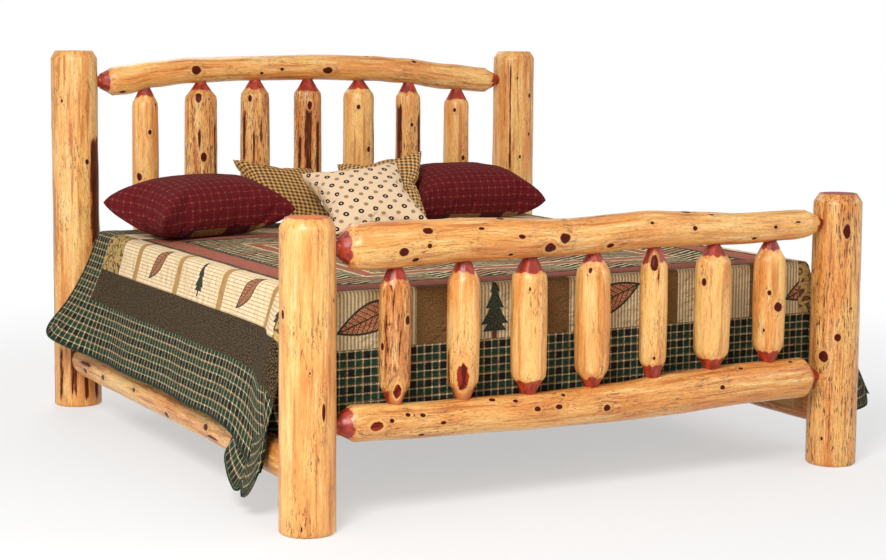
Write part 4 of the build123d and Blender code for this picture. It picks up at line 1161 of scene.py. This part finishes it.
def quilt_finish():
    quilt = Finish("quilt_cotton", 0.92, Specular_IOR_Level=0.25)
    flat = quilt.add("UVMap", {}, uv_map="flat").outputs[0]
    u, v, _ = quilt.split(flat)
    from_side = quilt.math("PINGPONG", u, QUILT_WIDTH / 2)
    from_foot = quilt.minus(QUILT_LENGTH, v)
    from_head = v
    weave = quilt.noise(quilt.stretch(flat, (700.0, 700.0, 1.0)), 1.0, 2.0)
    mottle = quilt.noise(quilt.stretch(flat, (260.0, 260.0, 1.0)), 1.0, 2.0)
    broad = quilt.noise(quilt.stretch(flat, (14.0, 14.0, 1.0)), 1.0, 2.0)

    def inside(side, foot, head):
        """Distance inside a frame that lies this far from the hems, below 0 outside it."""
        nearest = quilt.math("MINIMUM", quilt.minus(from_side, side), quilt.minus(from_foot, foot))
        return quilt.math("MINIMUM", nearest, quilt.minus(from_head, head))

    # windowpane plaid
    odd_u = quilt.step(quilt.math("PINGPONG", quilt.plus(u, PANE / 2), PANE), PANE * 0.45, PANE * 0.55)
    odd_v = quilt.step(quilt.math("PINGPONG", quilt.plus(v, PANE / 2), PANE), PANE * 0.45, PANE * 0.55)
    dark_pane = quilt.times(odd_u, odd_v)
    either_pane = quilt.times(quilt.plus(odd_u, odd_v), 0.5)
    checks = quilt.mix(either_pane, colour(30, 66, 46), colour(26, 42, 32))
    checks = quilt.over(checks, colour(26, 22, 20), dark_pane, 0.85)
    worn = quilt.noise(quilt.stretch(flat, (170.0, 170.0, 1.0)), 1.0, 1.0)
    worn = quilt.plus(0.45, quilt.times(quilt.step(worn, 0.40, 0.58), 0.75))
    warp = quilt.times(quilt.stripes(u, PANE, PANE * 0.17), worn)
    weft = quilt.times(quilt.stripes(v, PANE, PANE * 0.17), worn)
    rusty = quilt.math("MAXIMUM", quilt.stripes(quilt.plus(u, PANE * 0.14), PANE * 2, PANE * 0.10),
                       quilt.stripes(quilt.plus(v, PANE * 0.14), PANE * 2, PANE * 0.10))
    checks = quilt.over(checks, colour(186, 116, 70), rusty, 0.45)
    checks = quilt.over(checks, colour(214, 186, 140), warp, 0.5)
    checks = quilt.over(checks, colour(222, 196, 150), weft, 0.55)
    checks = quilt.over(checks, colour(250, 230, 192), quilt.times(warp, weft))
    checks = quilt.over(checks, colour(20, 30, 26), quilt.step(mottle, 0.50, 0.66), 0.55)

    # dark mottled band
    salt = quilt.noise(quilt.stretch(flat, (250.0, 250.0, 1.0)), 1.0, 1.0)
    band = quilt.mix(quilt.step(salt, 0.49, 0.60), colour(24, 18, 12), colour(124, 100, 66))
    band = quilt.over(band, colour(26, 20, 16), quilt.step(weave, 0.50, 0.60), 0.55)

    # cream panels, ribbed along the sides and down the foot
    in_foot = quilt.step(quilt.minus(PANEL_FOOT, from_foot), -EDGE, EDGE)
    rib_side = quilt.stripes(from_side, 0.0125, 0.0030)
    rib_foot = quilt.stripes(u, 0.0125, 0.0060)
    side_panel = quilt.mix(rib_side, colour(240, 220, 182), colour(212, 156, 96))
    side_panel = quilt.over(side_panel, colour(226, 196, 146), quilt.step(broad, 0.42, 0.7), 0.55)
    foot_panel = quilt.mix(rib_foot, colour(172, 146, 104), colour(226, 210, 172))
    foot_panel = quilt.over(foot_panel, colour(150, 124, 84), quilt.step(mottle, 0.5, 0.75), 0.35)

    # tan bars across the panels
    bar_v = quilt.math("PINGPONG", quilt.minus(v, 0.52), 0.205)
    side_bar = quilt.step(bar_v, 0.022, 0.0205)
    side_panel = quilt.over(side_panel, colour(184, 142, 86), side_bar)
    run = quilt.minus(u, QUILT_WIDTH / 2)
    bar_u = quilt.math("PINGPONG", quilt.plus(run, FOOT_BARS[0]), FOOT_BARS[1] / 2)
    foot_bar = quilt.step(bar_u, 0.067, 0.064)
    brown = quilt.mix(quilt.step(mottle, 0.4, 0.62), colour(98, 68, 36), colour(142, 106, 62))
    foot_panel = quilt.over(foot_panel, brown, foot_bar)

    # sewn-on leaves and pine trees, one between each pair of bars
    def motif_place(run, start, period, rise, middle, scale):
        """Coordinates round the middle of the nearest motif, and which of two kinds it is."""
        shifted = quilt.math("DIVIDE", quilt.minus(run, start), period)
        cell = quilt.math("FLOOR", shifted)
        local = quilt.minus(quilt.minus(shifted, cell), 0.5)
        along = quilt.times(local, period / scale)
        up = quilt.math("DIVIDE", quilt.minus(rise, middle), scale)
        kind = quilt.math("FLOORED_MODULO", cell, 2.0)
        return along, up, kind

    def leaf(along, up, lean):
        """A pointed leaf, 1 inside, and its rim and middle vein."""
        c, s = math.cos(lean), math.sin(lean)
        p = quilt.plus(quilt.times(along, c), quilt.times(up, s))
        q = quilt.minus(quilt.times(up, c), quilt.times(along, s))
        length = quilt.math("ABSOLUTE", quilt.math("DIVIDE", p, 0.100))
        bulge = quilt.minus(1.0, quilt.math("POWER", length, 1.7))
        edge = quilt.minus(quilt.times(bulge, 0.036), quilt.math("ABSOLUTE", q))
        vein = quilt.stripes(quilt.plus(quilt.math("ABSOLUTE", q), p), 0.016, 0.003)
        vein = quilt.math("MAXIMUM", vein, quilt.step(quilt.math("ABSOLUTE", q), 0.0022, 0.0012))
        return quilt.step(edge, 0.0, 0.001), quilt.step(edge, 0.0065, 0.0055), vein

    def tree(along, up):
        """A pine tree of four tiers and a trunk."""
        height = quilt.math("DIVIDE", quilt.plus(up, 0.075), 0.150)
        tier = quilt.math("FRACT", quilt.times(height, 4.0))
        width = quilt.times(quilt.minus(1.06, height), quilt.minus(0.046, quilt.times(tier, 0.020)))
        body = quilt.step(quilt.minus(width, quilt.math("ABSOLUTE", along)), 0.0, 0.001)
        body = quilt.times(body, quilt.within(height, 0.14, 1.0, 0.005))
        trunk = quilt.times(quilt.step(quilt.math("ABSOLUTE", along), 0.007, 0.006),
                            quilt.within(height, 0.0, 0.16, 0.004))
        return body, trunk

    def motifs(panel, along, up, kind, lean):
        blade, rim, vein = leaf(along, up, lean)
        body, trunk = tree(along, up)
        green = quilt.mix(quilt.step(mottle, 0.45, 0.62), colour(30, 40, 32), colour(84, 84, 62))
        rust = quilt.mix(quilt.step(mottle, 0.42, 0.6), colour(138, 70, 50), colour(214, 150, 104))
        one = quilt.times(blade, kind)
        panel = quilt.over(panel, rust, one)
        panel = quilt.over(panel, green, quilt.times(one, quilt.math("MAXIMUM", rim, vein)))
        other = quilt.minus(1.0, kind)
        panel = quilt.over(panel, colour(96, 56, 44), quilt.times(trunk, other))
        return quilt.over(panel, green, quilt.times(body, other))

    side_middle = (DARK_SIDE + PANEL_SIDE) / 2
    along, up, kind = motif_place(v, 0.11, 0.41, from_side, side_middle, 0.96)
    side_panel = motifs(side_panel, along, up, kind, 0.78)
    foot_middle = (PLAID_FOOT + PANEL_FOOT) / 2
    along, up, kind = motif_place(run, -FOOT_BARS[0], FOOT_BARS[1], from_foot, foot_middle, 1.38)
    foot_panel = motifs(foot_panel, along, up, kind, 0.35)

    panel = quilt.mix(in_foot, side_panel, foot_panel)
    by_side = quilt.step(quilt.minus(PANEL_SIDE, from_side), -EDGE, EDGE)
    by_end = quilt.math("MAXIMUM", in_foot, quilt.step(quilt.minus(PANEL_HEAD, from_head), -EDGE, EDGE))
    corner = quilt.times(by_side, by_end)
    swirl = quilt.noise(quilt.stretch(flat, (26.0, 26.0, 1.0)), 1.0, 1.0)
    block = quilt.mix(quilt.step(mottle, 0.4, 0.65), colour(172, 140, 78), colour(206, 176, 112))
    block = quilt.over(block, colour(86, 44, 40), quilt.within(swirl, 0.56, 0.66, 0.01), 0.9)
    block = quilt.over(block, colour(40, 52, 42), quilt.within(swirl, 0.34, 0.40, 0.01), 0.8)
    panel = quilt.mix(corner, panel, block)

    # frame and middle field
    zigzag = quilt.math("PINGPONG", quilt.times(u, 0.55), 0.14)
    slant = quilt.plus(quilt.times(v, 0.90), zigzag)
    field = quilt.mix(quilt.stripes(slant, 0.030, 0.012), colour(34, 34, 26), colour(226, 202, 152))
    broken = quilt.noise(quilt.stretch(flat, (44.0, 160.0, 1.0)), 1.0, 2.0)
    field = quilt.over(field, colour(44, 40, 32), quilt.step(broken, 0.54, 0.60), 0.8)
    field = quilt.over(field, colour(150, 92, 66), quilt.stripes(quilt.plus(slant, 0.015), 0.24, 0.05), 0.6)
    rust_band = quilt.mix(quilt.step(mottle, 0.42, 0.62), colour(152, 78, 60), colour(190, 116, 90))
    rust_band = quilt.over(rust_band, colour(128, 66, 52), quilt.step(broad, 0.5, 0.7), 0.35)
    dark_line = quilt.mix(quilt.step(mottle, 0.46, 0.62), colour(26, 28, 26), colour(120, 112, 84))

    depth = inside(PANEL_SIDE, PANEL_FOOT, PANEL_HEAD)
    cloth = quilt.mix(quilt.step(depth, -EDGE, EDGE), panel, dark_line)
    cloth = quilt.mix(quilt.step(depth, LINE_WIDTH - EDGE, LINE_WIDTH + EDGE), cloth, rust_band)
    rust_end = LINE_WIDTH + RUST_WIDTH
    cloth = quilt.mix(quilt.step(depth, rust_end - EDGE, rust_end + EDGE), cloth, dark_line)
    cloth = quilt.mix(quilt.step(depth, rust_end + LINE_WIDTH - EDGE, rust_end + LINE_WIDTH + EDGE),
                      cloth, field)
    inner = quilt.within(depth, FIELD_LINE, FIELD_LINE + 0.05, EDGE)
    cloth = quilt.over(cloth, rust_band, inner)
    edging = quilt.math("MAXIMUM", quilt.within(depth, FIELD_LINE - 0.012, FIELD_LINE, EDGE),
                        quilt.within(depth, FIELD_LINE + 0.05, FIELD_LINE + 0.062, EDGE))
    cloth = quilt.over(cloth, colour(214, 198, 152), edging)

    dark = quilt.step(quilt.minus(DARK_SIDE, from_side), -EDGE, EDGE)
    cloth = quilt.mix(dark, cloth, band)
    border = quilt.step(inside(PLAID_SIDE, PLAID_FOOT, PLAID_HEAD), EDGE, -EDGE)
    cloth = quilt.mix(border, cloth, checks)
    hem = quilt.step(inside(0.011, 0.011, 0.011), EDGE, -EDGE)
    cloth = quilt.over(cloth, colour(24, 52, 42), hem, 0.7)
    quilt.paint(cloth)

    # quilting
    wavy = quilt.noise(quilt.stretch(flat, (7.0, 7.0, 1.0)), 1.0, 1.0)
    rows = quilt.plus(v, quilt.times(wavy, 0.05))
    columns = quilt.plus(u, quilt.times(wavy, 0.05))
    seams = quilt.math("MAXIMUM", quilt.stripes(rows, 0.048, 0.004), quilt.stripes(columns, 0.048, 0.004))
    puff = quilt.noise(quilt.stretch(flat, (26.0, 40.0, 1.0)), 1.0, 3.0)
    quilt.bump(puff, 0.85, 0.022)
    quilt.bump(seams, -0.7, 0.005)
    ribs = quilt.mix(in_foot, rib_side, rib_foot)
    quilt.bump(quilt.times(ribs, quilt.within(from_side, DARK_SIDE, QUILT_WIDTH, 0.001)), 0.35, 0.0015)
    quilt.bump(weave, 0.35, 0.0010)
    return quilt.material


quilt_piece = finished(quilt_mesh(), "quilt_cloth", quilt_finish(), "mattress_set", ["quilt"])
wadding = quilt_piece.modifiers.new("wadding", "SOLIDIFY")
wadding.thickness = QUILT_THICKNESS
wadding.offset = -1.0
print("quilt:", len(quilt_piece.data.polygons), "faces")


# %% [markdown]
# ## Pillows
#
# A pillow is two flat pieces of cloth sewn together round their edge and stuffed. It is made
# the same way here: a flat blank of two layers, blown up by cloth simulation with a little
# pressure. The cloth can't stretch much, so the middle rises, the sides pull in, the corners
# stay as ears, and creases run in from the seam, which no rounded box would give. The blank
# keeps its flat UV map, so each print bends with its cloth.

# %% Pillow blanks
PILLOW_FRAMES = 20
PILLOW_PRESSURE = 4.0
SEAM_GAP = 0.003                    # between the two layers of a blank
PILLOW_SINK = 0.008                 # how far a pillow's own weight flattens its underside
FULLNESS = 0.84                     # under 1 the stuffing reaches further towards the seams


def pillow_blank(width, height, cell, seed):
    """Two layers of cloth with a common edge; the UV map is metres on the flat cloth."""
    blank = bmesh.new()
    across, up = round(width / cell), round(height / cell)
    bmesh.ops.create_grid(blank, x_segments=across, y_segments=up, size=0.5)
    bmesh.ops.scale(blank, verts=blank.verts[:], vec=(width, height, 1.0))
    flat = blank.loops.layers.uv.new("flat")
    for face in blank.faces:
        for loop in face.loops:
            loop[flat].uv = (loop.vert.co.x + width / 2, loop.vert.co.y + height / 2)
    back = blank.faces[:]
    top = bmesh.ops.extrude_face_region(blank, geom=back, use_keep_orig=True)
    raised = [item for item in top["geom"] if isinstance(item, bmesh.types.BMVert)]
    bmesh.ops.translate(blank, verts=raised, vec=(0, 0, SEAM_GAP))
    bmesh.ops.reverse_faces(blank, faces=back)
    bmesh.ops.recalc_face_normals(blank, faces=blank.faces[:])
    layer = blank.faces.layers.float.new("behind")
    for face in blank.faces:
        centre = face.calc_center_median()
        face[layer] = 1.0 if centre.z < SEAM_GAP / 4 else 0.0
        face.smooth = True
    rng = random.Random(seed)
    for v in blank.verts:
        edge = min(1.0, (width / 2 - abs(v.co.x)) / 0.05, (height / 2 - abs(v.co.y)) / 0.05)
        lift = 0.004 * edge * (1 + noise.noise(v.co * 14.0 + Vector((seed, 0.0, 0.0))))
        v.co.z += lift if v.co.z > SEAM_GAP / 2 else -lift
        v.co.z += rng.uniform(-0.0002, 0.0002)
    return blank


def inflate(blank, name, pressure):
    """Blows up a blank with cloth simulation and gives its mesh back."""
    data = bpy.data.meshes.new(name + "_blank")
    blank.to_mesh(data)
    blank.free()
    bag = bpy.data.objects.new(name + "_blank", data)
    bpy.context.scene.collection.objects.link(bag)
    cloth = bag.modifiers.new("cloth", "CLOTH")
    cloth.settings.quality = 6
    cloth.settings.mass = 0.25
    cloth.settings.tension_stiffness = 18
    cloth.settings.compression_stiffness = 18
    cloth.settings.shear_stiffness = 4
    cloth.settings.bending_stiffness = 0.12
    cloth.settings.air_damping = 2.0
    cloth.settings.use_pressure = True
    cloth.settings.uniform_pressure_force = pressure
    cloth.settings.effector_weights.gravity = 0
    cloth.point_cache.frame_start = 1
    cloth.point_cache.frame_end = PILLOW_FRAMES
    for step in range(1, PILLOW_FRAMES + 1):
        bpy.context.scene.frame_set(step)
    graph = bpy.context.evaluated_depsgraph_get()
    puffed = bmesh.new()
    puffed.from_mesh(bag.evaluated_get(graph).to_mesh())
    bpy.data.objects.remove(bag, do_unlink=True)
    bpy.data.meshes.remove(data)
    bpy.context.scene.frame_set(1)
    return puffed


# %% Stuffing and posing
def spread(values):
    return min(values), max(values)


def grow_pillow(node, blank_size, final_size, pose, ears, sides, seed, material, body):
    """A stuffed pillow in the place of its CAD node.

    Sizes are width, height and plumpness, and sides is how far the middles of its sides are
    let out again after the stuffing has pulled them in.
    """
    width, height = blank_size
    pillow = pillow_blank(width, height, 0.0095 if width > 0.5 else 0.0085, seed)
    pillow = inflate(pillow, node, PILLOW_PRESSURE)
    for axis in range(3):
        low, high = spread([v.co[axis] for v in pillow.verts])
        for v in pillow.verts:
            v.co[axis] = (v.co[axis] - (low + high) / 2) * final_size[axis] / (high - low)
    for v in pillow.verts:
        x, y, z = (2 * v.co[i] / final_size[i] for i in range(3))
        v.co.x *= 1 + sides * (1 - y * y) * x * x
        v.co.y *= 1 + sides * (1 - x * x) * y * y
        v.co.z = math.copysign(abs(z) ** FULLNESS, z) * final_size[2] / 2
        for corner_x, corner_y, pull_x, pull_y, pull_z in ears:
            away = math.hypot(v.co.x - corner_x * final_size[0] / 2, v.co.y - corner_y * final_size[1] / 2)
            share = smooth(1 - away / (0.32 * final_size[1]))
            v.co += Vector((corner_x * pull_x, corner_y * pull_y, pull_z)) * share
    lean, turn, roll = (math.radians(angle) for angle in pose)
    lie = Matrix.Rotation(turn, 3, "Z") @ Matrix.Rotation(lean, 3, "X") @ Matrix.Rotation(roll, 3, "Z")
    for v in pillow.verts:
        v.co = lie @ v.co
    box_low, box_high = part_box(node)
    for axis in range(2):
        low, high = spread([v.co[axis] for v in pillow.verts])
        middle = (box_low[axis] + box_high[axis] - low - high) / 2
        for v in pillow.verts:
            v.co[axis] += middle
    low, high = spread([v.co.z for v in pillow.verts])
    drop = box_low.z - low - PILLOW_SINK
    for v in pillow.verts:
        v.co.z += drop
        under = box_low.z + PILLOW_SINK * 1.2 - v.co.z
        if under > 0:
            v.co.z += under * under / (under + PILLOW_SINK * 1.2)
    lowest = min(v.co.z for v in pillow.verts)
    for v in pillow.verts:
        v.co.z += max(0.0, box_low.z - lowest)
    piece = finished(pillow, node + "_cover", material, body, [node])
    rounding = piece.modifiers.new("rounding", "SUBSURF")
    rounding.levels = rounding.render_levels = 1
    return piece


# %% Pillow cloths
def woven(cloth, flat, scale=650.0):
    """Threads, for tone and bump."""
    weave = cloth.noise(cloth.stretch(flat, (scale, scale, 1.0)), 1.0, 2.0)
    cloth.bump(cloth.noise(cloth.stretch(flat, (30.0, 30.0, 1.0)), 1.0, 3.0), 0.25, 0.006)
    cloth.bump(weave, 0.35, 0.0009)
    return weave


def gingham_finish(name, light, middle, dark, pitch):
    """Two sets of stripes of equal width, darker where they cross; plain cloth behind."""
    cloth = Finish(name, 0.9, Specular_IOR_Level=0.25)
    flat = cloth.add("UVMap", {}, uv_map="flat").outputs[0]
    u, v, _ = cloth.split(flat)
    weave = woven(cloth, flat)
    down = cloth.stripes(u, pitch, pitch * 0.52)
    across = cloth.stripes(v, pitch, pitch * 0.52)
    check = cloth.over(light, middle, down, 0.62)
    check = cloth.over(check, middle, across, 0.62)
    check = cloth.over(check, dark, down, across)
    check = cloth.over(check, light, cloth.step(weave, 0.45, 0.7), 0.3)
    behind = cloth.attribute("behind", "Fac")
    plain = cloth.mix(cloth.step(weave, 0.3, 0.7), light, middle)
    cloth.paint(cloth.over(check, plain, behind, 0.8))
    return cloth.material


def maroon_plaid_finish():
    """Dark red cloth with thin pairs of tan threads; banded cloth on the underside."""
    cloth = Finish("maroon_plaid_cloth", 0.9, Specular_IOR_Level=0.2)
    flat = cloth.add("UVMap", {}, uv_map="flat").outputs[0]
    u, v, _ = cloth.split(flat)
    weave = woven(cloth, flat)
    off_seam_u = cloth.plus(u, THREAD_PITCH / 2)
    off_seam_v = cloth.plus(v, THREAD_PITCH / 2)
    down = cloth.math("MAXIMUM", cloth.stripes(off_seam_u, THREAD_PITCH, THREAD_WIDTH),
                      cloth.stripes(cloth.plus(off_seam_u, THREAD_GAP), THREAD_PITCH, THREAD_WIDTH))
    across = cloth.math("MAXIMUM", cloth.stripes(off_seam_v, THREAD_PITCH, THREAD_WIDTH),
                        cloth.stripes(cloth.plus(off_seam_v, THREAD_GAP), THREAD_PITCH, THREAD_WIDTH))
    fine = cloth.math("MAXIMUM", cloth.stripes(u, 0.006, 0.0016), cloth.stripes(v, 0.006, 0.0016))
    tone = cloth.over(colour(108, 18, 26), colour(66, 10, 16), fine, 0.55)
    tone = cloth.over(tone, colour(70, 10, 18), cloth.step(weave, 0.4, 0.7), 0.35)
    thread = cloth.math("MAXIMUM", down, across)
    worn = cloth.noise(cloth.stretch(flat, (190.0, 190.0, 1.0)), 1.0, 1.0)
    broken = cloth.times(thread, cloth.step(worn, 0.48, 0.60))
    tone = cloth.over(tone, colour(206, 130, 84), broken, 0.30)
    tone = cloth.over(tone, colour(232, 170, 112), cloth.times(down, across), 0.8)
    stripe = cloth.mix(cloth.stripes(u, 0.30, 0.17), colour(72, 16, 28), colour(128, 96, 58))
    stripe = cloth.over(stripe, colour(58, 30, 26), cloth.stripes(u, 0.012, 0.002), 0.5)
    inner = cloth.math("MINIMUM", cloth.math("PINGPONG", u, SHAM_BLANK[0] / 2), cloth.times(v, 2.0))
    behind = cloth.times(cloth.attribute("behind", "Fac"), cloth.step(inner, SHAM_BAND - 0.002, SHAM_BAND))
    cloth.paint(cloth.mix(behind, tone, stripe))
    return cloth.material


def dotted_finish():
    """Cream linen printed with dark rings, and softer dots between them."""
    cloth = Finish("dotted_cloth", 0.9, Specular_IOR_Level=0.25)
    flat = cloth.add("UVMap", {}, uv_map="flat").outputs[0]
    u, v, _ = cloth.split(flat)
    weave = woven(cloth, flat)
    tone = cloth.mix(cloth.step(weave, 0.35, 0.7), colour(243, 213, 176), colour(226, 192, 154))

    def from_dot(shift):
        """Distance to the nearest dot of a square lattice."""
        du = cloth.minus(cloth.math("FRACT", cloth.math("DIVIDE", cloth.plus(u, shift), DOT_PITCH)), 0.5)
        dv = cloth.minus(cloth.math("FRACT", cloth.math("DIVIDE", cloth.plus(v, shift), DOT_PITCH)), 0.5)
        square = cloth.plus(cloth.times(du, du), cloth.times(dv, dv))
        return cloth.times(cloth.math("SQRT", square), DOT_PITCH)

    ring = from_dot(0.0)
    soft = from_dot(DOT_PITCH / 2)
    mottle = cloth.noise(cloth.stretch(flat, (240.0, 240.0, 1.0)), 1.0, 2.0)
    pale = cloth.mix(cloth.step(mottle, 0.4, 0.6), colour(158, 130, 98), colour(124, 104, 82))
    tone = cloth.over(tone, pale, cloth.step(soft, 0.0112, 0.0096), 0.9)
    dark = cloth.times(cloth.step(ring, 0.0134, 0.0122), cloth.step(ring, 0.0034, 0.0046))
    tone = cloth.mix(dark, tone, colour(22, 20, 22))
    tone = cloth.mix(cloth.attribute("behind", "Fac"), tone, colour(206, 184, 146))
    cloth.paint(tone)
    return cloth.material


THREAD_PITCH = 0.036                # from one pair of tan threads to the next
THREAD_WIDTH = 0.0014
THREAD_GAP = 0.0042                 # between the two threads of a pair
DOT_PITCH = 0.068
SHAM_BAND = 0.130                   # maroon margin on a sham's underside, half that at its front
SHAM_BLANK = (0.72, 0.54)

# %% Five pillows
gold_check = gingham_finish("gold_check_cloth", colour(220, 166, 98), colour(98, 76, 42),
                            colour(20, 22, 16), 0.0225)
tan_check = gingham_finish("tan_check_cloth", colour(228, 176, 112), colour(112, 84, 48),
                           colour(30, 26, 18), 0.0200)
maroon_plaid = maroon_plaid_finish()
dotted = dotted_finish()
THROW_SIZE = (0.410, 0.410, 0.125)
CHECK_SIZE = (0.362, 0.362, 0.080)
SHAM_SIZE = (0.616, 0.415, 0.236)
grow_pillow("pillow_sham_left", SHAM_BLANK, SHAM_SIZE, (6, 4, 10),
            [(-1, -1, 0.006, 0.0, 0.0), (1, -1, 0.006, 0.0, 0.0)], 0.05, 11, maroon_plaid, "left_sham")
grow_pillow("pillow_sham_right", SHAM_BLANK, SHAM_SIZE, (8.5, 5.5, -3),
            [(1, -1, 0.006, 0.0, 0.0)], 0.05, 23, maroon_plaid, "right_sham")
grow_pillow("pillow_check_left", (0.43, 0.43), CHECK_SIZE, (38, 10, -12),
            [(-1, 1, 0.004, 0.004, 0.0), (1, -1, 0.012, 0.0, 0.0)], 0.14, 31, gold_check, "mattress_set")
grow_pillow("pillow_check_right", (0.43, 0.43), CHECK_SIZE, (44, -42, 13),
            [(1, 1, 0.002, 0.002, 0.004)], 0.14, 43, tan_check, "mattress_set")
grow_pillow("pillow_dotted", (0.49, 0.49), THROW_SIZE, (33, -17, 11),
            [(-1, 1, 0.006, 0.004, 0.0), (1, 1, 0.004, 0.004, 0.0)], 0.07, 57, dotted, "front_pillow")
print("five pillows")


# %% [markdown]
# ## Floor and light
#
# The floor is pale and matte. For the camera alone it fades to plain white away from the bed,
# so the picture has a white background and still keeps the shadow under the bed. The light is
# a bright sky all round and large soft lamps: one high at the front left, which shapes the
# logs, a weaker one at the right, one behind, and one low at the left for the side rail.

# %% Floor
FLOOR_SIZE = 60.0
SHADE_REACH = (1.9, 4.2)            # where the floor starts and ends its fade to white
SHADE_KEPT = 0.50                   # how much of the real shade shows near the bed


def floor_finish():
    floor = Finish("studio_floor", 0.9)
    floor.shader.inputs["Base Color"].default_value = (0.86, 0.86, 0.86, 1.0)
    way = floor.split(floor.place())
    reach = floor.math("SQRT", floor.plus(floor.times(way[0], way[0]), floor.times(way[1], way[1])))
    glow = floor.add("Emission", {"Color": (1.0, 1.0, 1.0, 1.0), "Strength": 1.0}).outputs[0]
    fade = floor.step(reach, *SHADE_REACH)
    white = floor.plus(1 - SHADE_KEPT, floor.times(fade, SHADE_KEPT))
    rays = floor.add("LightPath", {}).outputs
    seen = floor.math("MAXIMUM", rays["Is Camera Ray"], rays["Is Glossy Ray"])
    seen = floor.math("MAXIMUM", seen, rays["Is Transmission Ray"])
    blend = floor.add("MixShader", {0: floor.times(seen, white), 1: floor.shader.outputs[0], 2: glow})
    floor.tree.links.new(blend.outputs[0], floor.tree.nodes["Material Output"].inputs["Surface"])
    return floor.material


ground = bmesh.new()
bmesh.ops.create_grid(ground, x_segments=1, y_segments=1, size=FLOOR_SIZE / 2)
floor_mesh = bpy.data.meshes.new("floor")
ground.to_mesh(floor_mesh)
ground.free()
floor_mesh.materials.append(floor_finish())
floor_piece = bpy.data.objects.new("floor", floor_mesh)
bpy.context.scene.collection.objects.link(floor_piece)

# %% Sky and lamps
SKY_STRENGTH = 0.46
LAMPS = [                           # name, place, size, watts
    ("key_lamp", (-4.2, -4.6, 4.6), 2.4, 360.0),
    ("fill_lamp", (4.8, -3.6, 3.4), 3.0, 60.0),
    ("back_lamp", (0.5, 5.0, 4.6), 3.0, 90.0),
    ("low_lamp", (-5.2, -1.4, 0.9), 1.8, 22.0),
]

world = bpy.data.worlds.new("studio")
bpy.context.scene.world = world
world.use_nodes = True
sky = world.node_tree.nodes["Background"]
sky.inputs["Color"].default_value = (1.0, 1.0, 1.0, 1.0)
seen_sky = world.node_tree.nodes.new("ShaderNodeBackground")
seen_sky.inputs["Color"].default_value = (1.0, 1.0, 1.0, 1.0)
seen_sky.inputs["Strength"].default_value = 1.0
sky.inputs["Strength"].default_value = SKY_STRENGTH
paths = world.node_tree.nodes.new("ShaderNodeLightPath")
either = world.node_tree.nodes.new("ShaderNodeMath")
either.operation = "MAXIMUM"
world.node_tree.links.new(paths.outputs["Is Camera Ray"], either.inputs[0])
world.node_tree.links.new(paths.outputs["Is Transmission Ray"], either.inputs[1])
both = world.node_tree.nodes.new("ShaderNodeMixShader")
world.node_tree.links.new(either.outputs[0], both.inputs[0])
world.node_tree.links.new(sky.outputs[0], both.inputs[1])
world.node_tree.links.new(seen_sky.outputs[0], both.inputs[2])
world.node_tree.links.new(both.outputs[0], world.node_tree.nodes["World Output"].inputs["Surface"])

BED_MIDDLE = Vector((0.0, 0.0, 0.6))
for name, place, size, watts in LAMPS:
    lamp = bpy.data.lights.new(name, "AREA")
    lamp.shape = "DISK"
    lamp.size = size
    lamp.energy = watts
    stand = bpy.data.objects.new(name, lamp)
    bpy.context.scene.collection.objects.link(stand)
    stand.location = place
    stand.rotation_euler = (BED_MIDDLE - Vector(place)).to_track_quat("-Z", "Y").to_euler()
print("lamps:", len(LAMPS))
